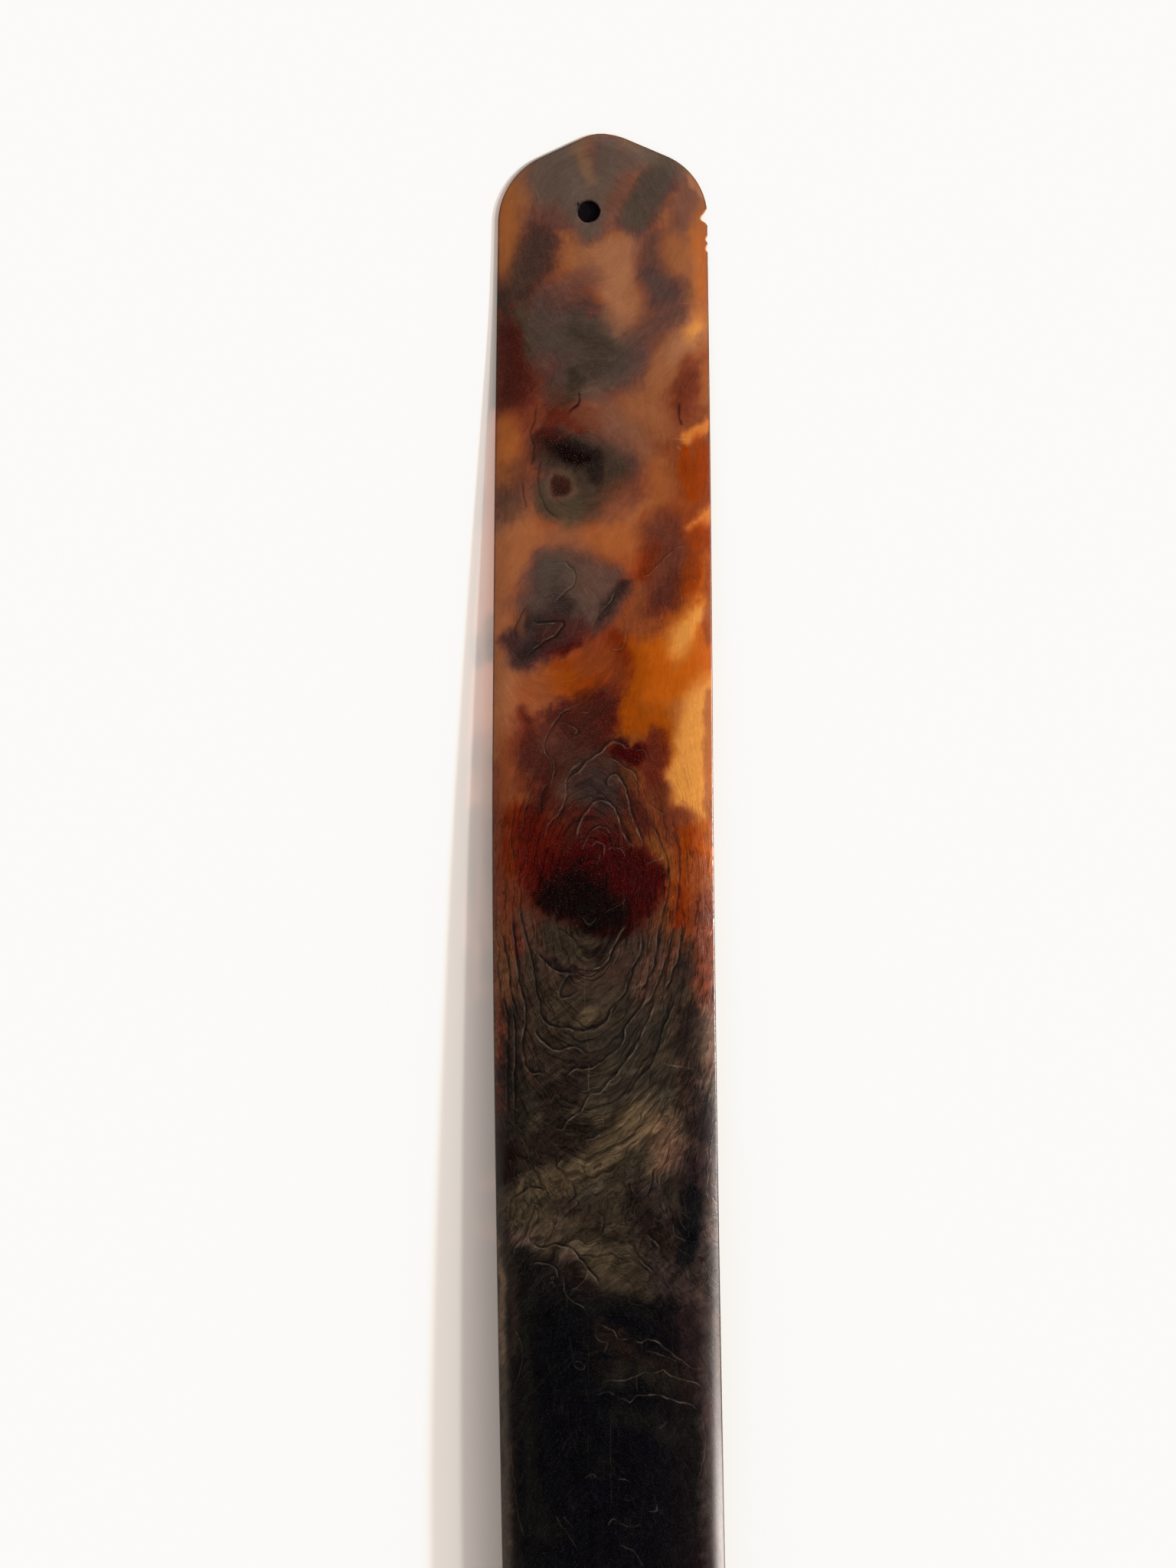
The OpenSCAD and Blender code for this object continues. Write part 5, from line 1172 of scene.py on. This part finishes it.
    # polish: satin, duller where the surface is scuffed and in the grooves
    scuff = n.noise(n.mapping(mm, scale=(0.9, 0.25, 1)), 1.0, 4, 0.6, 0.5)
    border = n.attr("border").outputs["Fac"]
    scratch = n.noise(n.mapping(mm, scale=(3.2, 0.22, 1)), 1.0, 3, 0.6)
    rough = n.math("ADD", n.span(scuff, 0.35, 0.75, 0.22, 0.30), n.math("MULTIPLY", groove, 0.12))
    rough = n.math("ADD", rough, n.math("MULTIPLY", border, n.span(scratch, 0.3, 0.7, 0.03, 0.14)))
    t.links.new(rough, bsdf.inputs["Roughness"])
    bsdf.inputs["IOR"].default_value = 1.54
    t.links.new(n.span(n.math("MULTIPLY", border, border), 0, 1, 0.26, 0.95), bsdf.inputs["Specular IOR Level"])
    bsdf.inputs["Specular Tint"].default_value = (1.0, 0.92, 0.88, 1)
    # the thick right border is polished more and more towards the round end
    t.links.new(n.span(n.math("MULTIPLY", border, border), 0, 1, 0.0, 0.9), bsdf.inputs["Coat Weight"])
    bsdf.inputs["Coat Roughness"].default_value = 0.22
    bsdf.inputs["Coat IOR"].default_value = 1.7
    t.links.new(n.span(clear, 0.05, 0.7, 0.02, 0.34), bsdf.inputs["Subsurface Weight"])
    bsdf.inputs["Subsurface Radius"].default_value = (1.0, 0.55, 0.30)
    bsdf.inputs["Subsurface Scale"].default_value = 1.6 * MM

    # relief: ridges and grooves, fine polishing scratches along the blade, soft dimples
    hair = n.noise(n.mapping(mm, scale=(14, 0.5, 1), rot=(0, 0, 0.04)), 1.0, 2, 0.5)
    relief = n.math("ADD", n.math("MULTIPLY", n.math("SUBTRACT", ridge, groove), 0.018), n.math("MULTIPLY", hair, 0.0012))
    relief = n.math("ADD", relief, n.math("MULTIPLY", fine, 0.002))
    relief = n.math("ADD", relief, n.math("MULTIPLY", n.math("SUBTRACT", n.math("MAXIMUM", seam_pale, fold_pale), n.math("MAXIMUM", seam_dark, fold_dark)), 0.0035))
    relief = n.math("ADD", relief, n.math("MULTIPLY", tooth, 0.002))
    bump = n.node("ShaderNodeBump")
    bump.inputs["Strength"].default_value = 0.8
    bump.inputs["Distance"].default_value = MM
    t.links.new(relief, bump.inputs["Height"])
    t.links.new(bump.outputs[0], bsdf.inputs["Normal"])
    return mat


def residue_material():
    mat = bpy.data.materials.new("old_wax")
    mat.use_nodes = True
    t = mat.node_tree
    n = Net(t)
    bsdf = t.nodes["Principled BSDF"]
    mm = n.mapping(n.node("ShaderNodeTexCoord").outputs["Object"], scale=(1000, 1000, 1000))
    speck = n.noise(mm, 3.0, 4, 0.6)
    t.links.new(n.mix(n.span(speck, 0.3, 0.8), (0.0015, 0.0008, 0.0014, 1), (0.006, 0.003, 0.005, 1)), bsdf.inputs["Base Color"])
    t.links.new(n.span(speck, 0.3, 0.7, 0.7, 0.9), bsdf.inputs["Roughness"])
    bsdf.inputs["Specular IOR Level"].default_value = 0.06
    bump = n.node("ShaderNodeBump")
    bump.inputs["Strength"].default_value = 0.6
    bump.inputs["Distance"].default_value = 0.05 * MM
    t.links.new(speck, bump.inputs["Height"])
    t.links.new(bump.outputs[0], bsdf.inputs["Normal"])
    return mat


mesh.materials.clear()
mesh.materials.append(horn_material())
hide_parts("blade")
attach(blade, "root")

# Old wax and grime that fills the lower part of the hole.
wax = lathe("hole_wax", [(0.10, 0.90, 0), (0.14, 1, -0.02), (0.62, 1, -0.005), (0.70, 1, 0.004)], 60)
wb = bmesh.new()
wb.from_mesh(wax.data)
lid = [f for f in wb.faces if len(f.verts) == 60 and f.calc_center_median().z > 0.5 * MM]
ret = bmesh.ops.inset_individual(wb, faces=lid, thickness=0.35 * MM, depth=-0.06 * MM)
wb.faces.ensure_lookup_table()
bmesh.ops.recalc_face_normals(wb, faces=wb.faces)
wb.to_mesh(wax.data)
wb.free()
for poly in wax.data.polygons:
    poly.use_smooth = True
wax.data.set_sharp_from_angle(angle=math.radians(40))
wax.data.materials.append(residue_material())
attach(wax, "root")

# ---------------------------------------------------------------------------------------------
# 6. Floor, light and camera.
# ---------------------------------------------------------------------------------------------
floor_mesh = bpy.data.meshes.new("floor")
floor_mesh.from_pydata([(-6, -6, 0), (6, -6, 0), (6, 6, 0), (-6, 6, 0)], [], [(0, 1, 2, 3)])
floor = bpy.data.objects.new("floor", floor_mesh)
scene.collection.objects.link(floor)
floor.location.z = -0.00003
paper = bpy.data.materials.new("floor_paper")
paper.use_nodes = True
pn = paper.node_tree
pb = pn.nodes["Principled BSDF"]
pb.inputs["Base Color"].default_value = (0.985, 0.961, 0.918, 1)
pb.inputs["Roughness"].default_value = 1.0
pb.inputs["Specular IOR Level"].default_value = 0.0
floor_mesh.materials.append(paper)

world = bpy.data.worlds.new("studio")
scene.world = world
world.use_nodes = True
wt = world.node_tree
wt.nodes.clear()
w = Net(wt)
sep = w.node("ShaderNodeSeparateXYZ")
wt.links.new(w.node("ShaderNodeTexCoord").outputs["Generated"], sep.inputs[0])
rampn = w.node("ShaderNodeValToRGB")
wt.links.new(w.span(sep.outputs[2], -0.2, 1.0), rampn.inputs[0])
el = rampn.color_ramp.elements
el[0].position, el[0].color = 0.0, (0.80, 0.79, 0.77, 1)
el[1].position, el[1].color = 1.0, (0.012, 0.012, 0.013, 1)
for pos, v in ((0.17, 0.80), (0.24, 1.30), (0.60, 1.30), (0.70, 0.80), (0.80, 0.34), (0.88, 0.11), (0.95, 0.02)):
    e = el.new(pos)
    e.color = (v * 1.03, v * 0.965, v * 0.965, 1)
bg = w.node("ShaderNodeBackground")
# the room is a little dimmer and warmer on the left
warm = w.mix(w.span(sep.outputs[0], -0.9, 0.1, 0, 1, True), (0.72, 0.67, 0.60, 1), (1.0, 0.99, 0.975, 1))
warm = w.mix(w.span(sep.outputs[0], 0.1, 0.9, 0, 1, True), warm, (1.30, 1.25, 1.21, 1))
wt.links.new(w.mix(1.0, rampn.outputs[0], warm, "MULTIPLY"), bg.inputs[0])
bg.inputs[1].default_value = 1.0
wo = w.node("ShaderNodeOutputWorld")
wt.links.new(bg.outputs[0], wo.inputs[0])


def sun(name, elevation, azimuth, strength, angle, colour=(1, 0.985, 0.96)):
    data = bpy.data.lights.new(name, "SUN")
    data.energy, data.angle, data.color = strength, math.radians(angle), colour
    ob = bpy.data.objects.new(name, data)
    e, a = math.radians(elevation), math.radians(azimuth)
    way = Vector((math.cos(e) * math.cos(a), math.cos(e) * math.sin(a), math.sin(e)))
    ob.rotation_euler = way.to_track_quat("Z", "Y").to_euler()
    ob.location = way * 2
    scene.collection.objects.link(ob)


sun("lamp_low", 22.8, 1, 3.05, 4.0)
sun("lamp_high", 35.5, -2, 0.98, 4.5)

cam_data = bpy.data.cameras.new("camera")
cam = bpy.data.objects.new("camera", cam_data)
scene.collection.objects.link(cam)
scene.camera = cam
DISTANCE, VIEW_H = 0.42, 0.2112
cam_data.sensor_width = 36
cam_data.sensor_fit = "AUTO"
cam_data.lens = 36 * DISTANCE / VIEW_H
cam_data.clip_start, cam_data.clip_end = 0.01, 20
cam.location = ((-2.09 - x_mid) * MM, 61.85 * MM, DISTANCE + 3.0 * MM)
cam.rotation_euler = (0, 0, 0)

scene.view_settings.view_transform = "Standard"
scene.view_settings.look = "None"
scene.view_settings.exposure = 0
scene.view_settings.gamma = 1
# a soft shoulder, so that the pale floor keeps its tone instead of clipping
scene.view_settings.use_curve_mapping = True
tone = scene.view_settings.curve_mapping
tone.clip_max_x, tone.clip_max_y = 1.6, 1.0
shoulder = tone.curves[3].points
shoulder[-1].location = (1.6, 0.975)
for at_x, at_y in ((0.35, 0.35), (0.70, 0.71), (0.90, 0.90), (1.05, 0.95)):
    shoulder.new(at_x, at_y)
tone.update()
